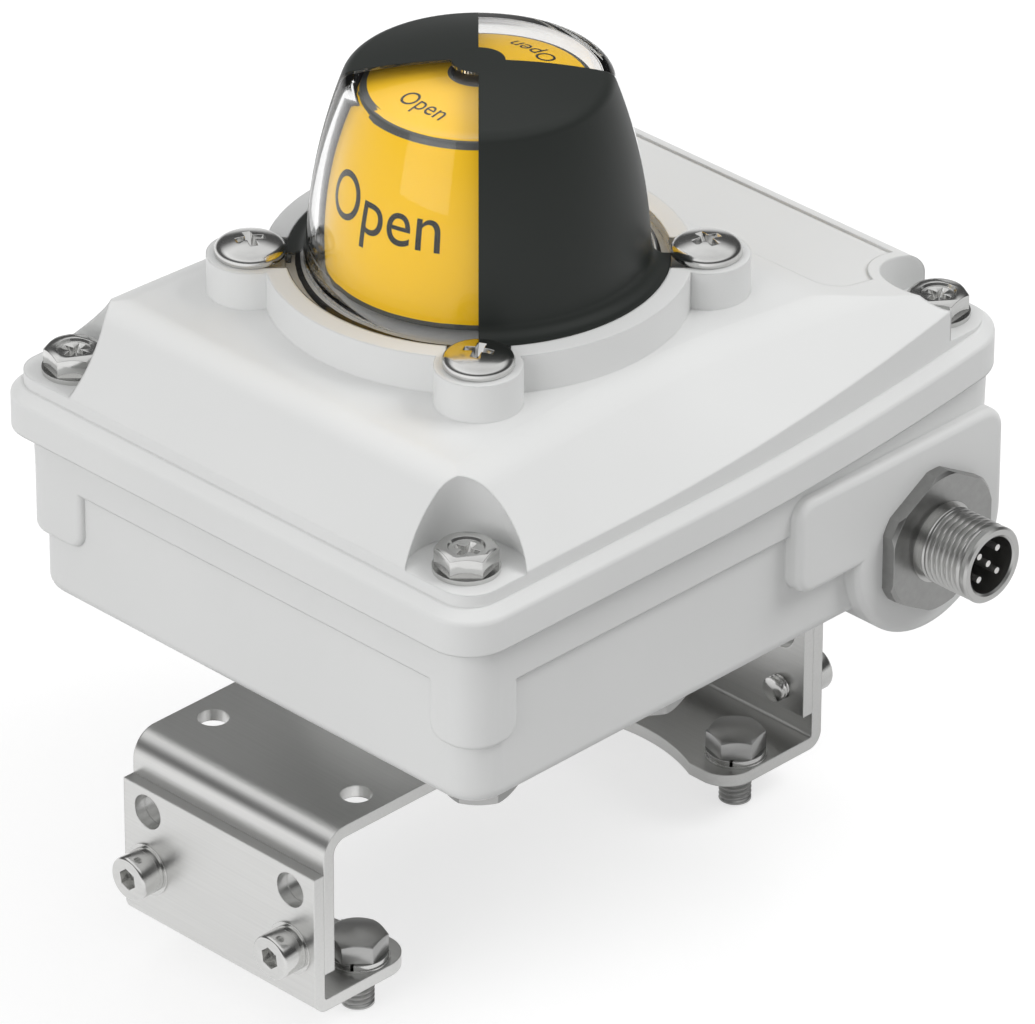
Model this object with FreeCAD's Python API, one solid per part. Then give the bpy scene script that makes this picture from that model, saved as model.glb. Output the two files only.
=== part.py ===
import FreeCAD, Part
import math
import os

# Valve limit switch box on a two-piece bracket pair, millimetres.
# Z is the shaft axis, z = 0 is the underside of the feet, X runs from one bracket to the other.

# Mounting pattern and bracket sheets
foot_pitch_x = 80.0
foot_pitch_y = 30.0
bracket_height = 30.0
sheet = 2.0
foot_wall_x = 53.5
foot_wall_height = 23.4
foot_edge = 5.0
foot_reach = 20.5
foot_waist = 2.6
foot_corner_r = 5.0
foot_bend_r = 2.5
angle_drop = 23.7
angle_reach = 41.5
angle_bend_r = 4.3
angle_notch_r = 13.0
spare_hole_r = 2.75
spare_hole_z = 19.6
top_hole_r = 2.4

# Screws
m6_r = 3.0
m6_flats = 10.0
m6_head = 4.0
m6_depth = 10.0
m6_washer_r = 5.2
m6_washer = 1.6
m5_r = 2.5
m5_shank_r = 2.2
m5_flats = 8.0
m5_head = 3.1
m5_tip = 6.0
m5_spring = 0.8
m5_spring_r = 4.6
m5_flat = 0.4
m5_flat_r = 4.8
m4_r = 2.0
m4_head_r = 3.5
m4_head = 4.0
m4_socket_flats = 3.0
m4_tip = 1.8
m4_washer_r = 4.1
m4_washer = 0.3
m4_z = 9.8
thread_fit = 0.02
clearance_hole = 0.3
m6_split_turn = 200.0
m5_split_turn = 215.0
split_gap = 0.5
m4_socket = 2.2
m4_bevel = 0.3

# Housing base
hub_r = 28.0
hub_circle_r = 25.0
hub_height = 13.0
base_x0 = -46.9
base_x1 = 60.3
base_y = 45.9
base_corner_r = 6.0
base_foot_r = 2.2
base_height = 27.7
base_wall = 3.2
band_height = 7.9
band_step = 1.0
band_corner_r = 5.2
band_draft = 0.25
column_x = 9.0
column_y = 9.2
column_y_back = 12.6
column_length = 9.6
column_corner_r = 2.6
column_edge_r = 0.8

# Parting curve: level as far as sweep_x, then an arc that rises toward the connector end
sweep_x = -5.0
sweep_r = 430.0

# Lid
rim_x0 = -51.2
rim_x1 = 61.6
rim_y = 49.4
rim_corner_r = 7.0
rim_height = 6.9
rim_slope = 1.6
rim_edge_r = 0.9
platform_inset = 2.0
platform_step = 2.0
plateau_height = 21.3
crown_foot = 9.0
crown_left_run = 8.5
crown_left_r = 6.0
crown_end_r = 3.3
skirt_foot = 9.2
skirt_angle_left = 50.0
skirt_angle = 40.0
skirt_mid_x = 8.6
skirt_sweep_x = -18.0
skirt_sweep_r = 312.0
skirt_edge_r = 8.0
skirt_stations = 12
skirt_margin = 6.0
skirt_over = 2.0
skirt_crease = 0.02
slant_x = 34.5
slant_angle = 10.46
slant_edge_r = 25.0
lid_wall = 2.8
label_x0 = 36.6
label_x1 = 56.0
label_y = 36.0
label_depth = 0.4
label_corner_r = 4.0
label_notch_r = 10.4

# Lid screws, their seats and scooped recesses
screw_x0 = -42.7
screw_x1 = 54.7
screw_y = 40.3
seat_left = 8.9
seat_right = 11.6
scoop_r = 8.6
scoop_lean = 15.0
lid_washer_r = 4.9
lid_washer = 0.7
lid_screw_length = 22.0
screw_column_r = 5.0
screw_column_end = 1.0

# Seals
seal_gap = 0.5
seal_width = 2.4
seal_inset = 0.9

# Ring boss, dome screws and dome
ring_height = 6.0
ring_gap = 3.0
ring_wall = 3.2
boss_r = 6.45
boss_reach = 5.02
dome_seat = 3.5
dome_screw_r = 5.25
dome_screw_head = 2.5
dome_screw_length = 10.0
dome_post_r = 4.5
dome_post_end = 3.0
ear_r = 4.5
ear_thickness = 2.5
ear_play = 0.1
flange_play = 0.1
bell_base_r = 25.0
bell_mid_in = 1.7
bell_top_in = 5.6
bell_base = 2.0
bell_height = 29.3
bell_crown = 2.2
bell_edge_r = 2.2
bell_lean = 1.15
dome_wall = 1.6
mask_wall = 0.8
mask_hub_r = 3.9
dome_seal_out = 0.4
dome_seal_width = 1.6
dome_seal_depth = 1.2

# Position indicator
drum_gap = 1.1
drum_edge_r = 0.5
drum_lift = 2.8
drum_wall = 1.5
panel = 0.5
panel_margin = 1.2
panel_edge = 0.2
panel_rim = 0.8
panel_overlap = 3.0
panel_hub_r = 4.4
drum_hub_r = 5.6
drum_hub_lift = 1.5
indicator_screw_r = 3.6
indicator_screw_head = 1.6
indicator_screw_sink = 0.4
indicator_shank_r = 2.0
indicator_screw_length = 9.0

# Shaft, running fits and cams
shaft_r = 6.5
shaft_drive_r = 6.0
shaft_drive_length = 14.0
shaft_neck_r = 5.0
shaft_tip_r = 4.0
shaft_tongue = 4.0
shaft_tongue_length = 7.0
shaft_drop = 17.0
shaft_tip_below = 7.5
shaft_neck_rise = 5.3
running_fit = 0.05
bush_r = 8.4
collar_r = 8.4
collar_top = 52.0
ring_groove = 1.0
ring_groove_depth = 0.6
retainer_r = 8.2
retainer_split = 4.0
seal_groove = 2.0
seal_groove_depth = 1.0
neck_seal_drop = 3.4
cam_height = 6.0
cam_r = 12.0
cam_lobe_r = 15.0
cam_lobe_half = 20.0
target_r = 2.2
target_depth = 3.0
target_sink = 0.5

# Switch gear
board_x0 = 17.2
board_x1 = 50.0
board_y = 32.0
board_z = 50.0
board_thickness = 1.6
board_post_r = 3.5
board_post_inset = 3.8
board_corner_r = 2.0
board_screw_r = 1.5
board_screw_head_r = 2.75
board_screw_head = 1.8
board_screw_depth = 3.5
sensor_x = 16.7
sensor_length = 14.0
sensor_width = 12.0
sensor_split = 4.0
sensor_edge_r = 1.0
sensor_face_in = 0.4
terminal_x = 38.0
terminal_width = 8.5
terminal_length = 40.0
terminal_height = 9.5
terminal_bevel = 3.0
terminal_well_r = 1.5
terminal_well = 2.0
terminal_wells = 8

# Connector pad and plug connector
pad_y = 49.0
pad_x0 = 16.8
pad_low = 10.0
pad_top = 25.5
pad_left_r = 3.0
pad_right_r = 4.0
pad_edge_r = 1.2
pad_back = 10.0
plug_x = 45.0
plug_z = 9.1
plug_boss_r = 15.5
plug_disc_r = 11.4
plug_disc_flats = 21.0
plug_disc = 2.3
plug_disc_bevel = 0.5
plug_r = 6.0
plug_length = 9.9
plug_neck = 1.3
plug_neck_r = 5.4
plug_bevel = 0.35
plug_wall = 1.5
plug_recess = 7.5
plug_rear_r = 6.4
pin_tail = 3.0
pin_r = 0.5
pin_circle_r = 2.75
pin_length = 6.6
plug_seal_r = 9.0
plug_seal_width = 1.6
plug_seal_depth = 1.0

# Levels that follow from the sizes above
V = FreeCAD.Vector
z_base = bracket_height + hub_height
z_floor = z_base + base_wall
z_part = z_base + base_height
z_plateau = z_part + plateau_height
z_ring = z_plateau + ring_height
z_dome = z_ring - dome_seat
ring_in_r = bell_base_r + ring_gap
ring_out_r = ring_in_r + ring_wall
boss_offset = (ring_in_r + boss_reach) * math.sqrt(0.5)
bell_mid_r = bell_base_r - bell_mid_in
bell_top_r = bell_base_r - bell_top_in
dome_seal_r = bell_base_r + dome_seal_out
z_bell = z_ring + bell_base
z_seat_left = z_part + seat_left
z_seat_right = z_part + seat_right
z_plug = z_base + plug_z
inner_y = base_y - base_wall
z_shaft_low = bracket_height - shaft_drop
z_drum = z_dome + drum_lift
drum_inset = dome_wall + drum_gap
top_panel_r = bell_top_r - drum_inset - panel_rim
z_drum_edge = z_ring + bell_height - drum_inset
z_drum_top = z_drum_edge + bell_crown
z_drum_hub = z_dome + drum_hub_lift
z_drum_seat = z_drum_top - indicator_screw_head - indicator_screw_sink
z_tip = z_drum_top - shaft_tip_below
hub_offset = hub_circle_r * math.sin(math.pi / 4)
angle_wall_x = foot_wall_x - sheet
foot_depth = foot_pitch_y + 2 * foot_edge
band_x0 = base_x0 - band_step
band_x1 = base_x1 + band_step
band_y = base_y + band_step
lid_screw_places = [(screw_x0, screw_y, z_seat_left), (screw_x0, -screw_y, z_seat_left),
                    (screw_x1, screw_y, z_seat_right), (screw_x1, -screw_y, z_seat_right)]
dome_screw_places = [(sx * boss_offset, sy * boss_offset) for sx in (-1, 1) for sy in (-1, 1)]
hub_screw_places = [(sx * hub_offset, sy * hub_offset) for sx in (-1, 1) for sy in (-1, 1)]
foot_screw_places = [(sx * foot_pitch_x / 2, sy * foot_pitch_y / 2) for sx in (-1, 1) for sy in (-1, 1)]


def flat(z):
    return lambda u, v: V(u, v, z)


def upright(y):
    return lambda u, v: V(u, y, v)


def trace(place, start, *steps):
    """Closed wire: a step of two numbers is a line, a step of four an arc through its first pair."""
    edges = []
    at = start
    for step in steps:
        end = step[-2:]
        if len(step) == 4:
            edges.append(Part.Arc(place(*at), place(*step[:2]), place(*end)).toShape())
        else:
            edges.append(Part.LineSegment(place(*at), place(*end)).toShape())
        at = end
    if math.dist(at, start) > 1e-6:
        edges.append(Part.LineSegment(place(*at), place(*start)).toShape())
    return Part.Wire(edges)


def corner(before, at, after, r):
    """Start, middle and end of the arc of radius r that rounds a corner."""
    a = math.atan2(before[1] - at[1], before[0] - at[0])
    b = math.atan2(after[1] - at[1], after[0] - at[0])
    half = ((b - a + math.pi) % (2 * math.pi) - math.pi) / 2
    run = r / math.tan(abs(half))
    reach = r / math.sin(abs(half)) - r
    first = (at[0] + run * math.cos(a), at[1] + run * math.sin(a))
    mid = (at[0] + reach * math.cos(a + half), at[1] + reach * math.sin(a + half))
    last = (at[0] + run * math.cos(b), at[1] + run * math.sin(b))
    return first, mid, last


def outline(place, points, radii):
    """Closed polygon with each corner rounded by its own radius, 0 for a sharp one."""
    steps = []
    for i, r in enumerate(radii):
        if r > 0:
            first, mid, last = corner(points[i - 1], points[i], points[(i + 1) % len(points)], r)
            steps += [first, mid + last]
        else:
            steps.append(points[i])
    start = steps[-1][-2:]
    return trace(place, start, *steps)


def box_outline(z, x0, x1, y, r):
    return outline(flat(z), [(x0, -y), (x1, -y), (x1, y), (x0, y)], [r] * 4)


def extruded(wire, length):
    return Part.Face(wire).extrude(length)


def column(x, y, z0, z1, r):
    return Part.makeCylinder(r, z1 - z0, V(x, y, z0))


def ring(x, y, z0, z1, r_in, r_out):
    return column(x, y, z0, z1, r_out).cut(column(x, y, z0, z1, r_in))


def rod_y(x, z, y0, y1, r):
    return Part.makeCylinder(r, abs(y1 - y0), V(x, y0, z), V(0, math.copysign(1, y1 - y0), 0))


def hexagon(x, y, z0, z1, flats, turn=0.0):
    r = flats / 2 / math.cos(math.pi / 6)
    headings = [math.radians(turn + 60 * i) for i in range(6)]
    points = [V(x + r * math.cos(a), y + r * math.sin(a), z0) for a in headings]
    return extruded(Part.makePolygon(points + points[:1]), V(0, 0, z1 - z0))


def hex_head(x, y, z0, z1, flats, turn, up=True):
    """Hexagon with the corners of its free end turned off by a 30 degree cone."""
    r = flats / 2 / math.cos(math.pi / 6)
    slope = (r - flats / 2) * math.tan(math.radians(30))
    free, seat = (z1, z0) if up else (z0, z1)
    tip = free + (slope if up else -slope)
    cone = Part.Face(trace(upright(0), (0, seat), (r + 1, seat), (r + 1, free - (tip - free) * 2),
                           (flats / 2 - 0.2, free), (0, free))).revolve(V(0, 0, 0), V(0, 0, 1), 360)
    cone.translate(V(x, y, 0))
    return hexagon(x, y, z0, z1, flats, turn).common(cone)


def group(shapes):
    return Part.makeCompound([s for shape in shapes for s in shape.Solids])


def mirrored(shape, normal):
    return shape.mirror(V(0, 0, 0), normal)


def both_sides(shape):
    return [shape, mirrored(shape, V(0, 1, 0))]


def fuse(shapes):
    return shapes[0].multiFuse(shapes[1:]).removeSplitter()


def rounded(shape, r, keep):
    """Fillet of radius r on the edges for which keep(edge) holds."""
    return shape.makeFillet(r, [e for e in shape.Edges if keep(e)])


def part_z(x):
    if x <= sweep_x:
        return z_part
    return z_part + sweep_r - math.sqrt(sweep_r ** 2 - (x - sweep_x) ** 2)


def swept_slab(low, high, half_width):
    """Slab between two copies of the parting curve, raised by low and by high."""
    x0 = rim_x0 - 5
    x1 = rim_x1 + 5
    mid = (sweep_x + x1) / 2
    z = part_z
    wire = trace(upright(-half_width), (x0, z(x0) + low), (sweep_x, z(sweep_x) + low),
                 (mid, z(mid) + low, x1, z(x1) + low), (x1, z(x1) + high),
                 (mid, z(mid) + high, sweep_x, z(sweep_x) + high), (x0, z(x0) + high))
    return extruded(wire, V(0, 2 * half_width, 0))


def screw_columns(r, depth, z1):
    """Round columns at the lid screws, from depth below each seat up to z1."""
    return fuse([column(x, y, seat - depth, z1, r) for x, y, seat in lid_screw_places])


# Housing base: tub with a stepped band, corner columns, hub and connector pad
def corner_column(sx, sy):
    x1 = band_x0 if sx < 0 else band_x1
    x0 = x1 - sx * column_x
    y1 = sy * band_y
    y0 = y1 - sy * (column_y if sy < 0 else column_y_back)
    z1 = z_part - band_height + 1
    z0 = z_part - band_height - column_length
    wire = outline(flat(z0), [(x0, y0), (x1, y0), (x1, y1), (x0, y1)], [0, 0, band_corner_r, 0])
    solid = extruded(wire, V(0, 0, z1 - z0))
    solid = rounded(solid, column_corner_r, lambda e: e.BoundBox.ZMax < z0 + 0.01
                    and (abs(e.CenterOfMass.x - x0) < 0.01 or abs(e.CenterOfMass.y - y0) < 0.01))
    return rounded(solid, column_edge_r, lambda e: e.BoundBox.ZMax < z0 + column_corner_r + 0.01
                   and (max(abs(v.X - x1) for v in e.Vertexes) < band_corner_r + 0.01
                        or max(abs(v.Y - y1) for v in e.Vertexes) < band_corner_r + 0.01))


def connector_pad():
    z_low = z_base + pad_low
    z_top = z_base + pad_top
    dz = z_plug - z_low
    x_meet = plug_x - math.sqrt(plug_boss_r ** 2 - dz ** 2)
    a = plug_boss_r * math.sqrt(0.5)
    x_right = plug_x + plug_boss_r
    r = pad_left_r
    s = pad_right_r
    c = 1 - math.sqrt(0.5)
    wire = trace(upright(-pad_y), (pad_x0 + r, z_low), (x_meet, z_low),
                 (plug_x - a, z_plug - a, plug_x, z_plug - plug_boss_r),
                 (plug_x + a, z_plug - a, x_right, z_plug), (x_right, z_top - s),
                 (x_right - s * c, z_top - s * c, x_right - s, z_top), (pad_x0 + r, z_top),
                 (pad_x0 + r * c, z_top - r * c, pad_x0, z_top - r), (pad_x0, z_low + r),
                 (pad_x0 + r * c, z_low + r * c, pad_x0 + r, z_low))
    pad = extruded(wire, V(0, pad_back, 0))
    return rounded(pad, pad_edge_r, lambda e: e.BoundBox.YMax < -pad_y + 0.01)


def board_posts():
    xs = (board_x0 + board_post_inset, board_x1 - board_post_inset)
    return [(x, sy * (board_y - board_post_inset)) for x in xs for sy in (-1, 1)]


def housing_base():
    top = part_z(rim_x1) + 1
    wall = extruded(box_outline(z_base, base_x0, base_x1, base_y, base_corner_r), V(0, 0, top - z_base))
    wall = rounded(wall, base_foot_r, lambda e: e.BoundBox.ZMax < z_base + 0.01)
    z_band = z_part - band_height
    band = Part.makeLoft([
        box_outline(z_band, band_x0, band_x1, band_y, band_corner_r),
        box_outline(top, band_x0 - band_draft, band_x1 + band_draft, band_y + band_draft, band_corner_r),
    ], True, True)
    hub = column(0, 0, bracket_height, z_base + 1, hub_r)
    columns = [corner_column(sx, sy) for sx in (-1, 1) for sy in (-1, 1)]
    body = fuse([wall, band, hub] + columns)
    inside = extruded(box_outline(z_floor, base_x0 + base_wall, base_x1 - base_wall, base_y - base_wall,
                                  base_corner_r - base_wall), V(0, 0, top))
    inside = inside.cut(screw_columns(screw_column_r, lid_screw_length + screw_column_end, top + 1))
    pad = connector_pad()
    body = body.fuse(pad).removeSplitter().cut(inside)
    seal_side = swept_slab(-seal_gap, 60, rim_y + 0.3)
    body = body.cut(seal_side)
    posts = [column(x, y, z_floor - 0.5, board_z, board_post_r) for x, y in board_posts()]
    body = fuse([body] + posts)
    tools = [column(0, 0, bracket_height - 1, z_floor + 1, bush_r)]
    tools += [column(x, y, bracket_height - 1, bracket_height + m6_depth + 1, m6_r + thread_fit)
              for x, y in hub_screw_places]
    tools += [column(x, y, seat - lid_screw_length, seat, m5_r + thread_fit)
              for x, y, seat in lid_screw_places]
    tools += [column(x, y, board_z - board_screw_depth, board_z + 1, board_screw_r + thread_fit)
              for x, y in board_posts()]
    tools.append(rod_y(plug_x, z_plug, -pad_y - 1, -inner_y + 1, plug_rear_r + thread_fit))
    return body.cut(tools + [connector_seal()])


# Lid: rim, platform and sloped crown, all three following the parting curve
def side_drop(angle, inset):
    return inset * (math.tan(math.radians(angle)) - 1 / math.cos(math.radians(angle)))


def skirt_z(x):
    if x <= skirt_sweep_x:
        return z_part + skirt_foot
    return z_part + skirt_foot + skirt_sweep_r - math.sqrt(skirt_sweep_r ** 2 - (x - skirt_sweep_x) ** 2)


def skirt_section(x, inset):
    """What lies outside the sloped long side at one station along X, as a closed wire."""
    share = min(1.0, max(0.0, (x - rim_x0) / (skirt_mid_x - rim_x0)))
    angle = skirt_angle_left + (skirt_angle - skirt_angle_left) * share
    y_foot = rim_y - platform_inset - inset
    z_foot = skirt_z(x) + side_drop(angle, inset)
    z_top = z_plateau - inset if inset > 0 else z_plateau + skirt_crease
    y_top = y_foot - (z_top - z_foot) / math.tan(math.radians(angle))
    place = lambda u, v: V(x, u, v)
    out = rim_y + 8
    z_out = z_foot - (out - y_foot) * math.tan(math.radians(angle))
    inner = y_top - skirt_margin
    z_high = z_plateau + 20
    if inset > 0:
        return trace(place, (-out, z_out), (-y_top, z_top), (-inner, z_top), (-inner, z_high), (-out, z_high))
    run = 0.9 * (z_top - z_foot) / math.sin(math.radians(angle))
    r = min(skirt_edge_r, run / math.tan(math.radians(angle / 2)))
    first, mid, last = corner((-y_foot, z_foot), (-y_top, z_top), (-inner, z_top), r)
    return trace(place, (-out, z_out), first, mid + last, (last[0], z_high), (-out, z_high))


def skirt_cutter(inset):
    start = rim_x0 + platform_inset - skirt_over
    step = (rim_x1 - platform_inset + skirt_over - start) / skirt_stations
    sections = [skirt_section(start + step * i, inset) for i in range(skirt_stations + 1)]
    return Part.makeLoft(sections, True, False)


def crown(inset):
    """Sloped crown of the lid, or its inside when inset is the wall."""
    x0 = rim_x0 + platform_inset
    x1 = rim_x1 - platform_inset
    left_angle = math.degrees(math.atan2(plateau_height - crown_foot, crown_left_run))
    low = z_part - 3
    z_left = z_part + crown_foot + side_drop(left_angle, inset)
    top = z_plateau - inset
    slant = math.radians(slant_angle)
    z_slant = z_plateau - inset / math.cos(slant)
    x_left_top = x0 + inset + (top - z_left) / math.tan(math.radians(left_angle))
    x_crease = slant_x + (top - z_slant) / math.tan(slant)
    x_right = x1 - inset
    z_right = top - (x_right - x_crease) * math.tan(slant)
    corners = [(x0 + inset, low), (x_right, low), (x_right, z_right), (x_crease, top), (x_left_top, top),
               (x0 + inset, z_left)]
    section = outline(upright(-rim_y), corners, [0, 0, crown_end_r, slant_edge_r, crown_left_r, 0])
    form = extruded(section, V(0, 2 * rim_y, 0))
    plan = box_outline(low, x0 + inset, x_right, rim_y - platform_inset - inset,
                       max(rim_corner_r - platform_inset - inset, 1))
    form = form.common(extruded(plan, V(0, 0, 60)))
    return form.cut(both_sides(skirt_cutter(inset)))


def label_recess():
    """Shallow panel recess on the slanted end, with its corners scooped round the lid screws."""
    plan = outline(flat(z_plateau - 30), [(label_x0, -label_y), (label_x1, -label_y), (label_x1, label_y),
                                          (label_x0, label_y)], [label_corner_r, 0, 0, label_corner_r])
    block = extruded(plan, V(0, 0, 60))
    block = block.cut([column(screw_x1, sy * screw_y, z_plateau - 31, z_plateau + 31, label_notch_r)
                       for sy in (-1, 1)])
    slant = math.radians(slant_angle)
    far = rim_x1 + 10
    drop = (far - slant_x) * math.tan(slant)
    floor = z_plateau - label_depth / math.cos(slant)
    above = extruded(trace(upright(-rim_y), (slant_x, floor), (far, floor - drop), (far, z_plateau + 9),
                           (slant_x, z_plateau + 9)), V(0, 2 * rim_y, 0))
    return block.common(above)


def ring_boss():
    outer = column(0, 0, z_plateau - 2, z_ring, ring_out_r)
    posts = [column(x, y, z_plateau - 2, z_ring, boss_r) for x, y in dome_screw_places]
    return fuse([outer] + posts)


def ear_form(play, z0, z1):
    """Round ears of the dome flange, or their pockets when play is added."""
    shapes = []
    for x, y in dome_screw_places:
        arm = Part.makeBox(math.hypot(x, y), 2 * (ear_r + play), z1 - z0, V(0, -ear_r - play, z0))
        arm.rotate(V(0, 0, 0), V(0, 0, 1), math.degrees(math.atan2(y, x)))
        shapes += [arm, column(x, y, z0, z1, ear_r + play)]
    return fuse(shapes)


def scoop(x, y, seat):
    """Recess over a lid screw seat: its round wall leans as it rises, but stands upright at the plug end."""
    rise = z_plateau - seat + 1
    if x > 0:
        return column(x, y, seat, seat + rise, scoop_r)
    return Part.makeCone(scoop_r, scoop_r - rise * math.tan(math.radians(scoop_lean)), rise, V(x, y, seat))


def above_part(edge, height):
    """Whether the whole edge lies at least height above the parting curve."""
    return all(v.Z > part_z(v.X) + height for v in edge.Vertexes)


def housing_lid():
    tall = 60
    rim = extruded(box_outline(z_part - 3, rim_x0, rim_x1, rim_y, rim_corner_r), V(0, 0, tall))
    rim = rim.common(swept_slab(-1, rim_height, rim_y + 9))
    rim = rim.makeChamfer(rim_slope, [e for e in rim.Edges if above_part(e, rim_height - 0.3)])
    rim = rounded(rim, rim_edge_r, lambda e: above_part(e, rim_height - rim_slope - 0.3)
                  and not above_part(e, rim_height - 0.3))
    inset = platform_inset
    platform = extruded(box_outline(z_part - 3, rim_x0 + inset, rim_x1 - inset, rim_y - inset,
                                    rim_corner_r - inset), V(0, 0, tall))
    platform = platform.common(swept_slab(-1, rim_height + platform_step, rim_y + 9))
    body = fuse([rim, platform, crown(0)]).cut([scoop(x, y, seat) for x, y, seat in lid_screw_places])
    body = body.cut(label_recess())
    body = fuse([body, ring_boss()])
    inside = crown(lid_wall).cut(screw_columns(scoop_r + lid_wall, seat_right, z_plateau + 5))
    body = body.cut([inside, swept_slab(-20, 0, rim_y + 9)])
    body = fuse([body] + [column(x, y, z_ring - dome_screw_length - dome_post_end, z_plateau - 1, dome_post_r)
                          for x, y in dome_screw_places])
    tools = [column(0, 0, z_dome, z_ring + 1, ring_in_r),
             ear_form(ear_play, z_ring - ear_thickness, z_ring + 1)]
    tools += [column(x, y, z_ring - dome_screw_length, z_ring, m5_r + thread_fit)
              for x, y in dome_screw_places]
    tools += [column(x, y, z_part - 5, seat + 1, m5_r + clearance_hole) for x, y, seat in lid_screw_places]
    tools.append(column(0, 0, z_part, z_dome + 1, shaft_neck_r + running_fit))
    tools.append(ring(0, 0, z_dome - dome_seal_depth, z_dome, dome_seal_r - dome_seal_width / 2,
                      dome_seal_r + dome_seal_width / 2))
    return body.cut(tools)


def lid_gasket():
    """Flat seal that follows the parting curve between base and lid."""
    inset = seal_inset
    outer = box_outline(z_part - 3, band_x0 + inset, band_x1 - inset, band_y - inset, band_corner_r - inset)
    inset += seal_width
    inner = box_outline(z_part - 3, band_x0 + inset, band_x1 - inset, band_y - inset, band_corner_r - inset)
    frame = extruded(outer, V(0, 0, 20)).cut(extruded(inner, V(0, 0, 20)))
    holes = screw_columns(m5_r + clearance_hole, lid_screw_length, z_plateau)
    return frame.common(swept_slab(-seal_gap, 0, rim_y)).cut(holes)


def lid_screws():
    shapes = []
    for x, y, seat in lid_screw_places:
        z0 = seat + lid_washer
        head = hex_head(x, y, z0, z0 + m5_head - 0.1, m5_flats, 15)
        shank = column(x, y, seat - lid_screw_length, z0, m5_r)
        shapes.append(fuse([head, shank]))
    return group(shapes)


def lid_screw_washers():
    return group([ring(x, y, seat, seat + lid_washer, m5_r + thread_fit, lid_washer_r)
                  for x, y, seat in lid_screw_places])


# Dome: clear shell whose outer layer turns black over the two quadrants that face along Y
def bell_corner(inset):
    """Rounding between the bell's side and its crown."""
    at = (bell_top_r - inset, z_ring + bell_height - inset)
    side = (bell_mid_r - inset, (z_bell + z_ring + bell_height) / 2)
    lean = (side[0] - at[0]) / (at[1] - side[1]) * bell_lean
    before = (at[0] + lean, at[1] - 1)
    after = (0, at[1] + 2 * bell_crown)
    return corner(before, at, after, max(bell_edge_r - inset, drum_edge_r))


def crown_circle(inset):
    """Height of the crown's round top over a radius."""
    first, mid, last = bell_corner(inset)
    sag = z_ring + bell_height - inset + bell_crown - last[1]
    radius = (last[0] ** 2 + sag ** 2) / 2 / sag
    return lambda r: last[1] + sag - radius + math.sqrt(radius ** 2 - r ** 2)


def bell_path(inset, r_end, start):
    """Points and arc middles of the bell's outline from start up to the crown at radius r_end."""
    first, mid, last = bell_corner(inset)
    z = crown_circle(inset)
    r_mid = (last[0] + r_end) / 2
    z_mid = (z_bell + z_ring + bell_height) / 2
    points = start + [(bell_base_r - inset, z_bell), first, last, (r_end, z(r_end))]
    middles = [None] * (len(start) - 1) + [None if len(start) < 3 else flange_bend(inset),
                                           (bell_mid_r - inset, z_mid), mid, (r_mid, z(r_mid))]
    return points, middles


def flange_bend(inset):
    centre = (bell_base_r + bell_base, z_bell)
    r = (bell_base + inset) * math.sqrt(0.5)
    return centre[0] - r, centre[1] - r


def flange_start(inset):
    r = ring_in_r - flange_play - inset
    return [(r, z_dome), (r, z_ring - inset), (bell_base_r + bell_base, z_ring - inset)]


def shell_section(outer, inner):
    """Closed wire between an outer and an inner path, each a pair of points and arc middles."""
    points = outer[0] + inner[0][::-1]
    middles = outer[1] + [None] + inner[1][::-1]
    steps = [point if mid is None else mid + point for mid, point in zip(middles, points[1:])]
    return trace(upright(0), points[0], *steps)


def turned(wire, turn, sweep=90.0):
    solid = Part.Face(wire).revolve(V(0, 0, 0), V(0, 0, 1), sweep)
    return solid.rotated(V(0, 0, 0), V(0, 0, 1), turn - sweep / 2)


def bell(inset, bottom):
    points, middles = bell_path(inset, 0, [(bell_base_r - inset, bottom)])
    return turned(shell_section((points, middles), ([(0, bottom)], [])), 0, 360.0)


def dome_mask():
    outer = bell_path(0, mask_hub_r, flange_start(0))
    inner = bell_path(mask_wall, mask_hub_r, flange_start(mask_wall))
    side = shell_section(outer, inner)
    top = crown_circle(0)
    low = crown_circle(mask_wall)
    r = mask_hub_r
    hub = trace(upright(0), (0, low(0)), (r / 2, low(r / 2), r, low(r)),
                (r, top(r)), (r / 2, top(r / 2), 0, top(0)))
    return fuse([turned(side, 90), turned(side, -90), turned(hub, 0, 360.0)])


def dome_clear(mask):
    inner = bell_path(dome_wall, 0, [(bell_base_r - dome_wall, z_dome)])
    thin = shell_section(bell_path(mask_wall, 0, flange_start(mask_wall)), inner)
    points, middles = bell_path(0, mask_hub_r, flange_start(0))
    low = crown_circle(mask_wall)
    r = mask_hub_r
    points += [(r, low(r)), (0, low(0))]
    middles += [None, (r / 2, low(r / 2))]
    thick = shell_section((points, middles), inner)
    ears = ear_form(0, z_ring - ear_thickness, z_ring)
    ears = ears.cut(column(0, 0, z_dome - 1, z_ring + 1, ring_in_r - flange_play))
    ears = ears.cut([column(x, y, z_dome, z_ring + 1, m5_r + clearance_hole) for x, y in dome_screw_places])
    return fuse([turned(thick, 0), turned(thick, 180), turned(thin, 90), turned(thin, -90), ears])


def dome_seal():
    half = dome_seal_width / 2
    return ring(0, 0, z_dome - dome_seal_depth, z_dome, dome_seal_r - half, dome_seal_r + half)


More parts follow.
